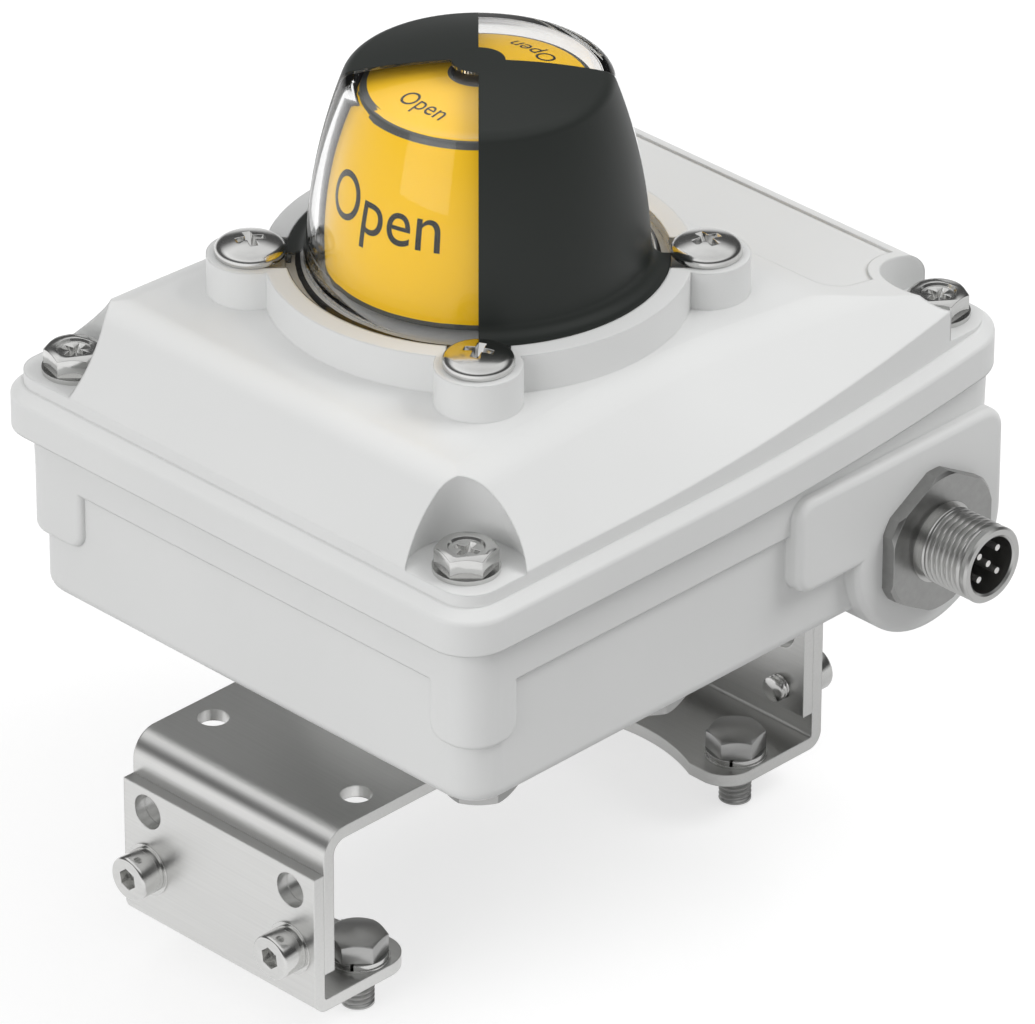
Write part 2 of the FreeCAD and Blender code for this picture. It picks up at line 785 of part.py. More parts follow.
def dome_screws():
    """Pan heads: straight edge, rounded shoulder and a crown that is part of a sphere."""
    r = dome_screw_r
    z_edge = z_ring + dome_screw_head * 0.35
    z_top = z_ring + dome_screw_head
    sag = dome_screw_head * 0.28
    r_crown = r * 0.78
    ball = (r_crown ** 2 + sag ** 2) / 2 / sag
    z_half = z_top - ball + math.sqrt(ball ** 2 - (r_crown / 2) ** 2)
    shoulder = (r * 0.935, (z_edge + z_top - sag) / 2 + 0.22 * dome_screw_head * 0.35)
    profile = trace(upright(0), (0, z_ring), (r, z_ring), (r, z_edge), shoulder + (r_crown, z_top - sag),
                    (r_crown / 2, z_half, 0, z_top))
    head = turned(profile, 0, 360.0)
    shapes = []
    for x, y in dome_screw_places:
        shank = column(x, y, z_ring - dome_screw_length, z_ring, m5_r)
        shapes.append(fuse([head.translated(V(x, y, 0)), shank]))
    return group(shapes)


# Position indicator: drum with yellow panels along X and red panels along Y
def drum_body(inset):
    return bell(drum_inset + inset, z_drum)


def open_zone():
    """Two quarters of space along X, each widened so that its colour fills the window in a slanting view."""
    reach = 2 * bell_base_r
    tip = panel_overlap * math.sqrt(2)
    points = [V(-tip, 0, 0), V(reach, -reach - tip, 0), V(reach, reach + tip, 0), V(-tip, 0, 0)]
    quarter = extruded(Part.makePolygon(points), V(0, 0, 2 * z_ring))
    return [quarter, quarter.rotated(V(0, 0, 0), V(0, 0, 1), 180)]


def indicator_panels():
    """Coloured skins of the drum's side and top: the pair along X, then the pair along Y."""
    skin = drum_body(0).cut(drum_body(panel))
    z_edge = z_drum_edge - drum_edge_r - panel_edge
    side = skin.common(column(0, 0, z_drum + panel_margin, z_edge, bell_base_r))
    top = skin.common(ring(0, 0, z_edge, z_drum_top + 1, panel_hub_r, top_panel_r))
    first, second = open_zone()
    pair_x = group([zone.common(quarter) for zone in (side, top) for quarter in (first, second)])
    pair_y = group([side.cut([first, second]), top.cut([first, second])])
    return pair_x, pair_y


def indicator_drum(panels):
    """Dark drum that carries the coloured panels flush in its skin."""
    shell = drum_body(0).cut(bell(drum_inset + drum_wall + panel, z_drum - 1))
    hub = column(0, 0, z_drum_hub, z_drum_top - drum_wall, drum_hub_r)
    bore = column(0, 0, z_drum_hub - 1, z_tip + running_fit, shaft_tip_r + thread_fit)
    through = column(0, 0, z_drum_hub, z_drum_top, indicator_shank_r + thread_fit)
    seat = column(0, 0, z_drum_seat, z_drum_top + 1, indicator_screw_r + clearance_hole)
    return fuse([shell, hub]).cut(panels + [bore, through, seat])


def indicator_screw():
    head = column(0, 0, z_drum_seat, z_drum_seat + indicator_screw_head, indicator_screw_r)
    return fuse([head, column(0, 0, z_tip - indicator_screw_length, z_drum_seat, indicator_shank_r)])


# Shaft train: stepped shaft, bush, seals, retaining rings and two settable cams
def shaft():
    z_low = z_shaft_low
    z_journal = z_low + shaft_drive_length
    z_neck = z_part + shaft_neck_rise
    profile = trace(upright(0), (0, z_low), (shaft_drive_r, z_low), (shaft_drive_r, z_journal),
                    (shaft_r, z_journal), (shaft_r, z_floor + running_fit),
                    (collar_r, z_floor + running_fit), (collar_r, collar_top),
                    (shaft_r, collar_top), (shaft_r, z_neck), (shaft_neck_r, z_neck),
                    (shaft_neck_r, z_drum_hub), (shaft_tip_r, z_drum_hub), (shaft_tip_r, z_tip), (0, z_tip))
    body = Part.Face(profile).revolve(V(0, 0, 0), V(0, 0, 1), 360)
    side = Part.makeBox(2 * shaft_r, 2 * shaft_r, shaft_tongue_length, V(-shaft_r, shaft_tongue / 2, z_low))
    tools = both_sides(side)
    tools += [ring(0, 0, z, z + ring_groove, shaft_r - ring_groove_depth, shaft_r + 1)
              for z in retainer_levels()]
    tools += [ring(0, 0, z, z + seal_groove, r - seal_groove_depth, r + 1) for z, r in seal_levels()]
    tools.append(column(0, 0, z_tip - indicator_screw_length - 1, z_tip + 1, indicator_shank_r + thread_fit))
    return body.cut(tools)


def retainer_levels():
    below = bracket_height - running_fit - ring_groove
    above = collar_top + 2 * (cam_height + running_fit) + running_fit
    return below, above


def seal_levels():
    return [(bracket_height + hub_height / 2, shaft_r), (z_dome - neck_seal_drop, shaft_neck_r)]


def shaft_retaining_rings():
    shapes = []
    for z in retainer_levels():
        gap = Part.makeBox(retainer_r, retainer_split, ring_groove, V(0, -retainer_split / 2, z))
        shapes.append(ring(0, 0, z, z + ring_groove, shaft_r - ring_groove_depth, retainer_r).cut(gap))
    return group(shapes)


def shaft_seals():
    return group([ring(0, 0, z, z + seal_groove, r - seal_groove_depth, r) for z, r in seal_levels()])


def shaft_bush():
    return ring(0, 0, bracket_height, z_floor, shaft_r + running_fit, bush_r)


def cam(z0, turn, sink):
    """Disc with a raised lobe and a pocket for its steel target; sink gives the target alone."""
    disc = column(0, 0, z0, z0 + cam_height, cam_r)
    half = math.radians(cam_lobe_half)
    lobe_end = (cam_lobe_r * math.cos(half), cam_lobe_r * math.sin(half))
    wire = trace(flat(z0), (0, 0), (lobe_end[0], -lobe_end[1]), (cam_lobe_r, 0) + lobe_end)
    lobe = extruded(wire, V(0, 0, cam_height))
    at = V(cam_lobe_r - target_depth - target_sink, 0, z0 + cam_height / 2)
    if sink:
        shape = Part.makeCylinder(target_r, target_depth, at, V(1, 0, 0))
    else:
        pocket = Part.makeCylinder(target_r, cam_lobe_r, at, V(1, 0, 0))
        bore = column(0, 0, z0 - 1, z0 + cam_height + 1, shaft_r + running_fit)
        shape = fuse([disc, lobe]).cut([pocket, bore])
    return shape.rotated(V(0, 0, 0), V(0, 0, 1), turn)


def cam_levels():
    low = collar_top + running_fit
    return low, low + cam_height + running_fit


# Switch gear: sensors and terminals on one board over the floor
def circuit_board():
    wire = outline(flat(board_z), [(board_x0, -board_y), (board_x1, -board_y), (board_x1, board_y),
                                   (board_x0, board_y)], [board_corner_r] * 4)
    board = extruded(wire, V(0, 0, board_thickness))
    return board.cut([column(x, y, board_z - 1, board_z + 3, board_screw_r + clearance_hole)
                      for x, y in board_posts()])


def board_screws():
    shapes = []
    for x, y in board_posts():
        z = board_z + board_thickness
        head = column(x, y, z, z + board_screw_head, board_screw_head_r)
        shapes.append(fuse([head, column(x, y, board_z - board_screw_depth, z, board_screw_r)]))
    return group(shapes)


def sensor(side, level):
    """Sensor block with its round face toward the cam at the given level."""
    z0 = board_z + board_thickness
    z1 = level + cam_height
    y0 = side * (sensor_split / 2 + sensor_width / 2)
    body = Part.makeBox(sensor_length, sensor_width, z1 - z0, V(board_x0, y0 - sensor_width / 2, z0))
    body = rounded(body, sensor_edge_r, lambda e: e.BoundBox.ZLength > z1 - z0 - 0.1)
    face = Part.makeCylinder(cam_height / 2 - sensor_face_in, board_x0 - sensor_x + 0.5,
                             V(sensor_x, y0, level + cam_height / 2), V(1, 0, 0))
    return fuse([body, face])


def terminal_strip():
    z0 = board_z + board_thickness
    half = terminal_length / 2
    x1 = terminal_x + terminal_width
    z1 = z0 + terminal_height
    wire = trace(upright(-half), (terminal_x, z0), (x1, z0), (x1, z1 - terminal_bevel),
                 (x1 - terminal_bevel, z1), (terminal_x, z1))
    strip = extruded(wire, V(0, terminal_length, 0))
    pitch = terminal_length / terminal_wells
    x = terminal_x + (terminal_width - terminal_bevel) / 2
    return strip.cut([column(x, -half + pitch * (i + 0.5), z1 - terminal_well, z1 + 1, terminal_well_r)
                      for i in range(terminal_wells)])


# Plug connector in the pad, axis along Y
def plug_front():
    return -pad_y - plug_disc - plug_length


def connector_flange():
    """Hexagon with two flats facing along X, its corners turned off round and bevelled at the front."""
    block = hexagon(0, 0, 0, plug_disc, plug_disc_flats, 30)
    block.rotate(V(0, 0, 0), V(1, 0, 0), 90)
    block.translate(V(plug_x, -pad_y, z_plug))
    disc = rod_y(plug_x, z_plug, -pad_y, -pad_y - plug_disc, plug_disc_r)
    front = [e for e in disc.Edges if e.BoundBox.YMax < -pad_y - plug_disc + 0.01]
    disc = disc.makeChamfer(plug_disc_bevel, front)
    return block.common(disc).cut(rod_y(plug_x, z_plug, -pad_y + 1, -pad_y - plug_disc - 1, plug_rear_r))


def connector_body():
    y_disc = -pad_y - plug_disc
    rear = rod_y(plug_x, z_plug, y_disc, -inner_y, plug_rear_r)
    neck = rod_y(plug_x, z_plug, y_disc, y_disc - plug_neck, plug_neck_r)
    front = rod_y(plug_x, z_plug, y_disc - plug_neck, plug_front(), plug_r)
    front = front.makeChamfer(plug_bevel, [e for e in front.Edges if e.BoundBox.YMax < plug_front() + 0.01])
    bore = rod_y(plug_x, z_plug, plug_front() - 1, -inner_y + 1, plug_r - plug_wall)
    return fuse([rear, neck, front]).cut(bore)


def pin_places():
    turns = [(0, 0)] + [(pin_circle_r * math.cos(math.radians(45 + 90 * i)),
                         pin_circle_r * math.sin(math.radians(45 + 90 * i))) for i in range(4)]
    return [(plug_x + u, z_plug + w) for u, w in turns]


def connector_insert():
    y0 = plug_front() + plug_recess
    body = rod_y(plug_x, z_plug, y0, -inner_y, plug_r - plug_wall)
    return body.cut([rod_y(x, z, y0 - 1, -inner_y + 1, pin_r) for x, z in pin_places()])


def connector_pins():
    y0 = plug_front() + plug_recess - pin_length
    return group([rod_y(x, z, y0, -inner_y + pin_tail, pin_r) for x, z in pin_places()])


def connector_seal():
    half = plug_seal_width / 2
    y1 = -pad_y + plug_seal_depth
    return rod_y(plug_x, z_plug, -pad_y, y1, plug_seal_r + half).cut(
        rod_y(plug_x, z_plug, -pad_y, y1, plug_seal_r - half))


# Brackets: a top angle under the hub and a foot angle screwed to its outside, one pair per side
def l_section(place, wall, z_far, z_flat, tip, r):
    """L profile of one sheet: outer corner at (wall, z_flat), bent with outside radius r."""
    sx = math.copysign(1, tip - wall)
    sz = math.copysign(1, z_far - z_flat)
    points = [(wall, z_far), (wall, z_flat), (tip, z_flat), (tip, z_flat + sz * sheet),
              (wall + sx * sheet, z_flat + sz * sheet), (wall + sx * sheet, z_far)]
    return outline(place, points, [0, r, 0, 0, max(r - sheet, 0.3), 0])


def top_angle():
    half = foot_depth / 2
    wire = l_section(upright(-half), -angle_wall_x, bracket_height - angle_drop, bracket_height,
                     -angle_wall_x + angle_reach, angle_bend_r)
    plate = extruded(wire, V(0, foot_depth, 0))
    tools = [column(0, 0, 0, z_base, angle_notch_r)]
    tools += [column(-hub_offset, sy * hub_offset, 0, z_base, m6_r + clearance_hole) for sy in (-1, 1)]
    tools += [column(-foot_pitch_x / 2, sy * foot_pitch_y / 2, 10, z_base, top_hole_r) for sy in (-1, 1)]
    tools += side_holes(m4_r + thread_fit)
    return plate.cut(tools)


def side_holes(fixing_r):
    """Drillings through the upright sheets on the -X side, one row for the screws and one spare row."""
    start = -foot_wall_x - 1
    rows = [(m4_z, fixing_r), (spare_hole_z, spare_hole_r)]
    return [Part.makeCylinder(r, 2 * sheet + 2, V(start, sy * foot_pitch_y / 2, z), V(1, 0, 0))
            for z, r in rows for sy in (-1, 1)]


def foot_angle():
    half = foot_depth / 2
    tip = -foot_wall_x + foot_reach
    wire = l_section(upright(-half), -foot_wall_x, foot_wall_height, 0, tip, foot_bend_r)
    plate = extruded(wire, V(0, foot_depth, 0))
    plate = rounded(plate, foot_corner_r, lambda e: e.BoundBox.XMin > tip - 0.01
                    and e.BoundBox.ZLength > sheet - 0.1 and e.BoundBox.YLength < 0.01)
    span = half - foot_corner_r - 1
    waist = trace(flat(-1), (tip + 1, -span), (tip - foot_waist, 0, tip + 1, span))
    tools = [column(-foot_pitch_x / 2, sy * foot_pitch_y / 2, -1, sheet + 1, m5_r + clearance_hole)
             for sy in (-1, 1)]
    tools.append(extruded(waist, V(0, 0, sheet + 2)))
    return plate.cut(tools + side_holes(m4_r + clearance_hole))


def hub_screws():
    z1 = bracket_height - sheet - m6_washer
    return group([fuse([hex_head(x, y, z1 - m6_head, z1, m6_flats, 15, False),
                        column(x, y, z1, bracket_height + m6_depth, m6_r)]) for x, y in hub_screw_places])


def split_ring(x, y, z0, z1, r_in, r_out, turn):
    cut = Part.makeBox(r_out + 1, split_gap, z1 - z0 + 2, V(0, -split_gap / 2, z0 - 1))
    cut.rotate(V(0, 0, 0), V(0, 0, 1), turn)
    cut.translate(V(x, y, 0))
    return ring(x, y, z0, z1, r_in, r_out).cut(cut)


def hub_spring_washers():
    z1 = bracket_height - sheet
    return group([split_ring(x, y, z1 - m6_washer, z1, m6_r + thread_fit, m6_washer_r, m6_split_turn)
                  for x, y in hub_screw_places])


def foot_screws():
    z0 = sheet + m5_flat + m5_spring
    return group([fuse([hex_head(x, y, z0, z0 + m5_head, m5_flats, 15),
                        column(x, y, 0, z0, m5_shank_r),
                        column(x, y, -m5_tip, 0, m5_r)]) for x, y in foot_screw_places])


def foot_spring_washers():
    z0 = sheet + m5_flat
    return group([split_ring(x, y, z0, z0 + m5_spring, m5_r + thread_fit, m5_spring_r, m5_split_turn)
                  for x, y in foot_screw_places])


def foot_flat_washers():
    return group([ring(x, y, sheet, sheet + m5_flat, m5_r + thread_fit, m5_flat_r)
                  for x, y in foot_screw_places])


def side_screws():
    """Socket cap screws through both upright sheets, tips showing on the inner side."""
    shapes = []
    x0 = -foot_wall_x - m4_washer
    for sy in (-1, 1):
        y = sy * foot_pitch_y / 2
        head = Part.makeCylinder(m4_head_r, m4_head, V(x0 - m4_head, y, m4_z), V(1, 0, 0))
        head = head.makeChamfer(m4_bevel, [e for e in head.Edges if e.BoundBox.XMax < x0 - m4_head + 0.01])
        shank = Part.makeCylinder(m4_r, m4_washer + 2 * sheet + m4_tip, V(x0, y, m4_z), V(1, 0, 0))
        socket = hexagon(0, 0, 0, m4_socket, m4_socket_flats)
        socket.rotate(V(0, 0, 0), V(0, 1, 0), 90)
        socket.translate(V(x0 - m4_head, y, m4_z))
        shapes.append(fuse([head, shank]).cut(socket))
    return group(shapes)


def side_screw_washers():
    shapes = []
    for sy in (-1, 1):
        at = V(-foot_wall_x - m4_washer, sy * foot_pitch_y / 2, m4_z)
        disc = Part.makeCylinder(m4_washer_r, m4_washer, at, V(1, 0, 0))
        shapes.append(disc.cut(Part.makeCylinder(m4_r + thread_fit, m4_washer, at, V(1, 0, 0))))
    return group(shapes)


def pair(shape):
    return group([shape, mirrored(shape, V(1, 0, 0))])


def build():
    mask = dome_mask()
    open_panels, closed_panels = indicator_panels()
    low, high = cam_levels()
    angle = top_angle()
    foot = foot_angle()
    return {
        "housing_base": housing_base(),
        "housing_lid": housing_lid(),
        "lid_gasket": lid_gasket(),
        "lid_screws": lid_screws(),
        "lid_screw_washers": lid_screw_washers(),
        "dome_clear": dome_clear(mask),
        "dome_mask": mask,
        "dome_seal": dome_seal(),
        "dome_screws": dome_screws(),
        "indicator_drum": indicator_drum([open_panels, closed_panels]),
        "indicator_open_panels": open_panels,
        "indicator_closed_panels": closed_panels,
        "indicator_screw": indicator_screw(),
        "shaft": shaft(),
        "shaft_bush": shaft_bush(),
        "shaft_seals": shaft_seals(),
        "shaft_retaining_rings": shaft_retaining_rings(),
        "cam_lower": cam(low, 0, False),
        "cam_target_lower": cam(low, 0, True),
        "cam_upper": cam(high, 90, False),
        "cam_target_upper": cam(high, 90, True),
        "sensor_lower": sensor(-1, low),
        "sensor_upper": sensor(1, high),
        "circuit_board": circuit_board(),
        "board_screws": board_screws(),
        "terminal_strip": terminal_strip(),
        "connector_flange": connector_flange(),
        "connector_body": connector_body(),
        "connector_insert": connector_insert(),
        "connector_pins": connector_pins(),
        "connector_seal": connector_seal(),
        "top_angle_left": angle,
        "top_angle_right": mirrored(angle, V(1, 0, 0)),
        "foot_angle_left": foot,
        "foot_angle_right": mirrored(foot, V(1, 0, 0)),
        "hub_screws": hub_screws(),
        "hub_spring_washers": hub_spring_washers(),
        "foot_screws": foot_screws(),
        "foot_spring_washers": foot_spring_washers(),
        "foot_flat_washers": foot_flat_washers(),
        "side_screws": pair(side_screws()),
        "side_screw_washers": pair(side_screw_washers()),
    }


os.makedirs("parts", exist_ok=True)
for name, shape in build().items():
    if not shape.isValid() or not shape.Solids:
        raise RuntimeError("bad shape: " + name)
    shape.exportStep("parts/" + name + ".step")
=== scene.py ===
import bpy
import bmesh
import math
from mathutils import Matrix, Vector
from mathutils.bvhtree import BVHTree


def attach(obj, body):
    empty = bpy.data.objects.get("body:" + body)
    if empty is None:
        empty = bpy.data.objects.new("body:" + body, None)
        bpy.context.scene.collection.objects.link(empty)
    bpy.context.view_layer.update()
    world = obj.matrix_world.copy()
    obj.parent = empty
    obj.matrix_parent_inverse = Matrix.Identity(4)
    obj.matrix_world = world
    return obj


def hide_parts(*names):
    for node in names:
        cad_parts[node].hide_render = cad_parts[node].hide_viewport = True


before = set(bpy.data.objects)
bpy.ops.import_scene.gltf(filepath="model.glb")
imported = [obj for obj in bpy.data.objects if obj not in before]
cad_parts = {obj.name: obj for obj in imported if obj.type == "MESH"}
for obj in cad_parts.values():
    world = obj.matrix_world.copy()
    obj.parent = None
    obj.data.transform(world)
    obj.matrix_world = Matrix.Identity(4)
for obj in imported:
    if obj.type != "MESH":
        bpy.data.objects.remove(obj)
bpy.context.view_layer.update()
MM = 0.001
FULL_TURN = 2 * math.pi

# Places of the small pieces, in millimetres, in the frame of the part
FOOT_PLACES = [(sx * 40.0, sy * 15.0) for sx in (-1, 1) for sy in (-1, 1)]
DOME_PLACES = [(sx * 23.35, sy * 23.35) for sx in (-1, 1) for sy in (-1, 1)]
LID_PLACES = [(-42.7, 40.3, 79.6), (-42.7, -40.3, 79.6), (54.7, 40.3, 82.3), (54.7, -40.3, 82.3)]
DOME_TURNS = (28, 62, -12, 40)
LID_TURNS = (14, 15, 22, 8)
FOOT_TURN = 15
RING_TOP = 98.0
PLUG_X, PLUG_Z, PLUG_FACE = 45.0, 52.1, -51.3
SIDE_Z, SIDE_Y, SIDE_SEAT = 9.8, 15.0, 53.8
FLOOR_Z = -6.0

# Screws: radii, heads and recesses, in millimetres
M5_R, M5_TIP_R, M5_CHAMFER = 2.5, 2.2, 0.4
M5_PITCH, M5_THREAD_DEPTH = 0.8, 0.4
HEX_FLATS = 8.0
DOME_SCREW_LENGTH, LID_SCREW_LENGTH = 10.0, 22.0
LID_HEAD_FOOT, LID_HEAD_TOP, LID_DISH_FLOOR = 0.7, 3.7, 3.2
FOOT_HEAD_FOOT, FOOT_HEAD_TOP = 3.2, 6.3
FOOT_TIP_Z, FOOT_TIP_R, FOOT_THREAD_END = -6.0, 2.0, -5.7
M4_R, M4_PITCH, M4_THREAD_DEPTH = 2.0, 0.7, 0.33
SIDE_HEAD, SIDE_HEAD_R, SIDE_SOCKET, SIDE_SOCKET_FLOOR = 4.0, 3.5, 3.0, 1.8
SIDE_TIP_Z, SIDE_TIP_R, SIDE_THREAD = -6.1, 1.6, (-5.9, -3.4)

# Plug sleeve: radii, and heights along its axis from its seat outward, in millimetres
PLUG_BORE_R, PLUG_NECK_R, PLUG_REAR_R, PLUG_THREAD_R, PLUG_COLLAR_R = 4.5, 5.4, 6.4, 5.98, 6.0
PLUG_REAR, PLUG_NECK, PLUG_THREAD_START, PLUG_THREAD_END, PLUG_FRONT = -8.6, 1.3, 1.32, 8.9, 9.9
PLUG_PITCH, PLUG_THREAD_DEPTH = 1.0, 0.55

# Position words, in millimetres and degrees
SIDE_WORD_HEIGHT, SIDE_WORD_RADIUS, SIDE_WORD_FOOT, SIDE_WORD_TURN = 7.5, 20.4, 109.3, 2.0
TOP_WORD_HEIGHT, TOP_WORD_REACH, TOP_WORD_ASIDE = 3.1, 12.7, 0.5
CAPITAL_SHARE, WORD_NARROW, WORD_STEP, WORD_LIFT = 0.73, 0.9, 0.9, 0.03
WORD_SCALE = {"Open": 1.0, "Closed": 0.72}
OUTSIDE_DRUM, ABOVE_DRUM = 40.0, 140.0

# Camera, fitted to the photograph: its width and focal length in its own dots, then millimetres
PHOTO_WIDTH, FOCAL_LENGTH, SIDE_SHIFT = 1035.0, 9580.0, 39.0
AZIMUTH, ELEVATION, DISTANCE = -45.0, 30.25, 1413.0
AIM_HEIGHT, CAMERA_RISE = 44.0, 9.11


# Node helpers
def node(tree, kind, at, **inputs):
    made = tree.nodes.new(kind)
    made.location = at
    for key, value in inputs.items():
        made.inputs[key.replace("_", " ")].default_value = value
    return made


def link(tree, source, target):
    tree.links.new(source, target)


def operate(tree, kind, operation, at, *sources):
    """Output of a math node whose inputs are sockets or plain values; several outputs for a vector node."""
    made = node(tree, kind, at)
    made.operation = operation
    for target, source in zip(made.inputs, sources):
        if isinstance(source, bpy.types.NodeSocket):
            link(tree, source, target)
        else:
            target.default_value = source
    return made.outputs


def calculate(tree, operation, at, *sources):
    return operate(tree, "ShaderNodeMath", operation, at, *sources)[0]


def toward(tree, at, source, heading):
    """How far a direction points along the heading, from -1 to 1."""
    return operate(tree, "ShaderNodeVectorMath", "DOT_PRODUCT", at, source, heading)["Value"]


def mixed(tree, at, factor, first, second):
    """Colour between the first and the second."""
    made = node(tree, "ShaderNodeMix", at)
    made.data_type = "RGBA"
    for place, source in ((0, factor), (6, first), (7, second)):
        if isinstance(source, bpy.types.NodeSocket):
            link(tree, source, made.inputs[place])
        else:
            made.inputs[place].default_value = source
    return made.outputs[2]


def ramp(tree, at, source, stops):
    """Grey level read off the stops at the source's value."""
    made = node(tree, "ShaderNodeValToRGB", at)
    while len(made.color_ramp.elements) < len(stops):
        made.color_ramp.elements.new(0.5)
    for element, (place, value) in zip(made.color_ramp.elements, stops):
        element.position = place
        element.color = (value, value, value, 1)
    link(tree, source, made.inputs["Fac"])
    return made.outputs["Color"]


def spread(tree, at, source, **limits):
    """Source's value, spread from one range to another."""
    made = node(tree, "ShaderNodeMapRange", at, **limits)
    link(tree, source, made.inputs["Value"])
    return made.outputs["Result"]


def noise(tree, at, source, **inputs):
    made = node(tree, "ShaderNodeTexNoise", at, **inputs)
    link(tree, source, made.inputs["Vector"])
    return made


def effect(name, inputs):
    """Empty shader node group with named inputs, and outputs for colour, height and gloss."""
    tree = bpy.data.node_groups.new(name, "ShaderNodeTree")
    for label, kind, value in inputs:
        socket = tree.interface.new_socket(name=label, in_out="INPUT", socket_type=kind)
        socket.default_value = value
    for label, kind in (("Colour", "NodeSocketColor"), ("Height", "NodeSocketFloat"), ("Gloss", "NodeSocketFloat")):
        tree.interface.new_socket(name=label, in_out="OUTPUT", socket_type=kind)
    return tree, node(tree, "NodeGroupInput", (-900, 0)), node(tree, "NodeGroupOutput", (700, 0))


def make_powder_grain():
    """Fine pebbled grain of a sprayed or moulded surface, with a slow drift of tone."""
    tree, start, end = effect("Powder grain", [
        ("Grain size", "NodeSocketFloat", 1400.0),
        ("Light tone", "NodeSocketColor", (1, 1, 1, 1)),
        ("Deep tone", "NodeSocketColor", (0.9, 0.9, 0.9, 1)),
    ])
    place = node(tree, "ShaderNodeTexCoord", (-700, 200)).outputs["Object"]
    grain = noise(tree, (-450, 100), place, Detail=3.0, Roughness=0.55)
    link(tree, start.outputs["Grain size"], grain.inputs["Scale"])
    drift = noise(tree, (-450, -200), place, Scale=26.0, Detail=2.0).outputs["Fac"]
    soft_drift = ramp(tree, (-200, -200), drift, [(0.35, 0.0), (0.7, 1.0)])
    tone = mixed(tree, (0, 150), soft_drift, start.outputs["Light tone"], start.outputs["Deep tone"])
    link(tree, tone, end.inputs["Colour"])
    link(tree, grain.outputs["Fac"], end.inputs["Height"])
    link(tree, ramp(tree, (-200, -450), drift, [(0.3, 0.36), (0.75, 0.46)]), end.inputs["Gloss"])
    return tree


def make_brush_lines():
    """Long fine lines left by grinding or turning, stretched along one direction."""
    tree, start, end = effect("Brush lines", [
        ("Stretch", "NodeSocketVector", (60.0, 60.0, 2500.0)),
        ("Light tone", "NodeSocketColor", (0.7, 0.7, 0.7, 1)),
        ("Deep tone", "NodeSocketColor", (0.5, 0.5, 0.5, 1)),
        ("Smooth", "NodeSocketFloat", 0.2),
        ("Rough", "NodeSocketFloat", 0.34),
    ])
    place = node(tree, "ShaderNodeTexCoord", (-900, 300)).outputs["Object"]
    scaled = operate(tree, "ShaderNodeVectorMath", "MULTIPLY", (-650, 200), place, start.outputs["Stretch"])[0]
    lines = noise(tree, (-450, 150), scaled, Scale=1.0, Detail=4.0, Roughness=0.6).outputs["Fac"]
    cloud = noise(tree, (-450, -150), place, Scale=45.0, Detail=2.0).outputs["Fac"]
    tone = mixed(tree, (0, 200), lines, start.outputs["Deep tone"], start.outputs["Light tone"])
    link(tree, tone, end.inputs["Colour"])
    link(tree, lines, end.inputs["Height"])
    rough = node(tree, "ShaderNodeMapRange", (0, -200))
    link(tree, cloud, rough.inputs["Value"])
    link(tree, start.outputs["Smooth"], rough.inputs["To Min"])
    link(tree, start.outputs["Rough"], rough.inputs["To Max"])
    link(tree, rough.outputs["Result"], end.inputs["Gloss"])
    return tree


POWDER_GRAIN = make_powder_grain()
BRUSH_LINES = make_brush_lines()


# Finishes
def material(name):
    made = bpy.data.materials.new(name)
    made.use_nodes = True
    tree = made.node_tree
    return made, tree, tree.nodes["Principled BSDF"]


def opaque(tone):
    return tuple(tone) + (1,)


def surface_finish(tree, shader, group, strength, distance, edge, **values):
    """Joins a grain or brush group to a material's colour, roughness and bump."""
    part = node(tree, "ShaderNodeGroup", (-600, 100))
    part.node_tree = group
    for key, value in values.items():
        part.inputs[key.replace("_", " ")].default_value = value
    link(tree, part.outputs["Colour"], shader.inputs["Base Color"])
    link(tree, part.outputs["Gloss"], shader.inputs["Roughness"])
    bump = node(tree, "ShaderNodeBump", (-250, -250), Strength=strength, Distance=distance)
    link(tree, part.outputs["Height"], bump.inputs["Height"])
    if edge:
        soft = node(tree, "ShaderNodeBevel", (-450, -400), Radius=edge)
        soft.samples = 6
        link(tree, soft.outputs["Normal"], bump.inputs["Normal"])
    link(tree, bump.outputs["Normal"], shader.inputs["Normal"])


def grained(name, light, deep, grain, strength, edge=0.0, coat=0.0, sheen_level=0.5):
    """Plastic, rubber or sprayed coat; edge is the radius in metres that its edges look rounded by."""
    made, tree, shader = material(name)
    shader.inputs["Specular IOR Level"].default_value = sheen_level
    surface_finish(tree, shader, POWDER_GRAIN, strength, 0.00004, edge, Grain_size=grain,
                   Light_tone=opaque(light), Deep_tone=opaque(deep))
    if coat:
        shader.inputs["Coat Weight"].default_value = coat
        shader.inputs["Coat Roughness"].default_value = 0.12
    return made


def edged_panel(name, light, deep, margin, reach):
    """Panel of one colour round +Y and -Y, with a strip of another colour along the diagonals beside it."""
    made = grained(name, light, deep, 1500.0, 0.04)
    tree = made.node_tree
    place = node(tree, "ShaderNodeTexCoord", (-1100, 500)).outputs["Object"]
    split = node(tree, "ShaderNodeSeparateXYZ", (-900, 500))
    link(tree, place, split.inputs[0])
    away_x = calculate(tree, "ABSOLUTE", (-700, 600), split.outputs["X"])
    away_y = calculate(tree, "ABSOLUTE", (-700, 400), split.outputs["Y"])
    gap = calculate(tree, "SUBTRACT", (-500, 500), away_y, away_x)
    inside = calculate(tree, "GREATER_THAN", (-300, 500), gap, reach * math.sqrt(2))
    base = tree.nodes["Principled BSDF"].inputs["Base Color"]
    link(tree, mixed(tree, (-100, 500), inside, opaque(margin), base.links[0].from_socket), base)
    return made


def metal(name, light, deep, stretch, smooth, rough, strength=0.15, edge=0.0):
    """Brushed, turned or plated metal, its lines stretched by the three scales."""
    made, tree, shader = material(name)
    shader.inputs["Metallic"].default_value = 1.0
    surface_finish(tree, shader, BRUSH_LINES, strength, 0.00002, edge, Stretch=stretch,
                   Light_tone=opaque(light), Deep_tone=opaque(deep), Smooth=smooth, Rough=rough)
    return made


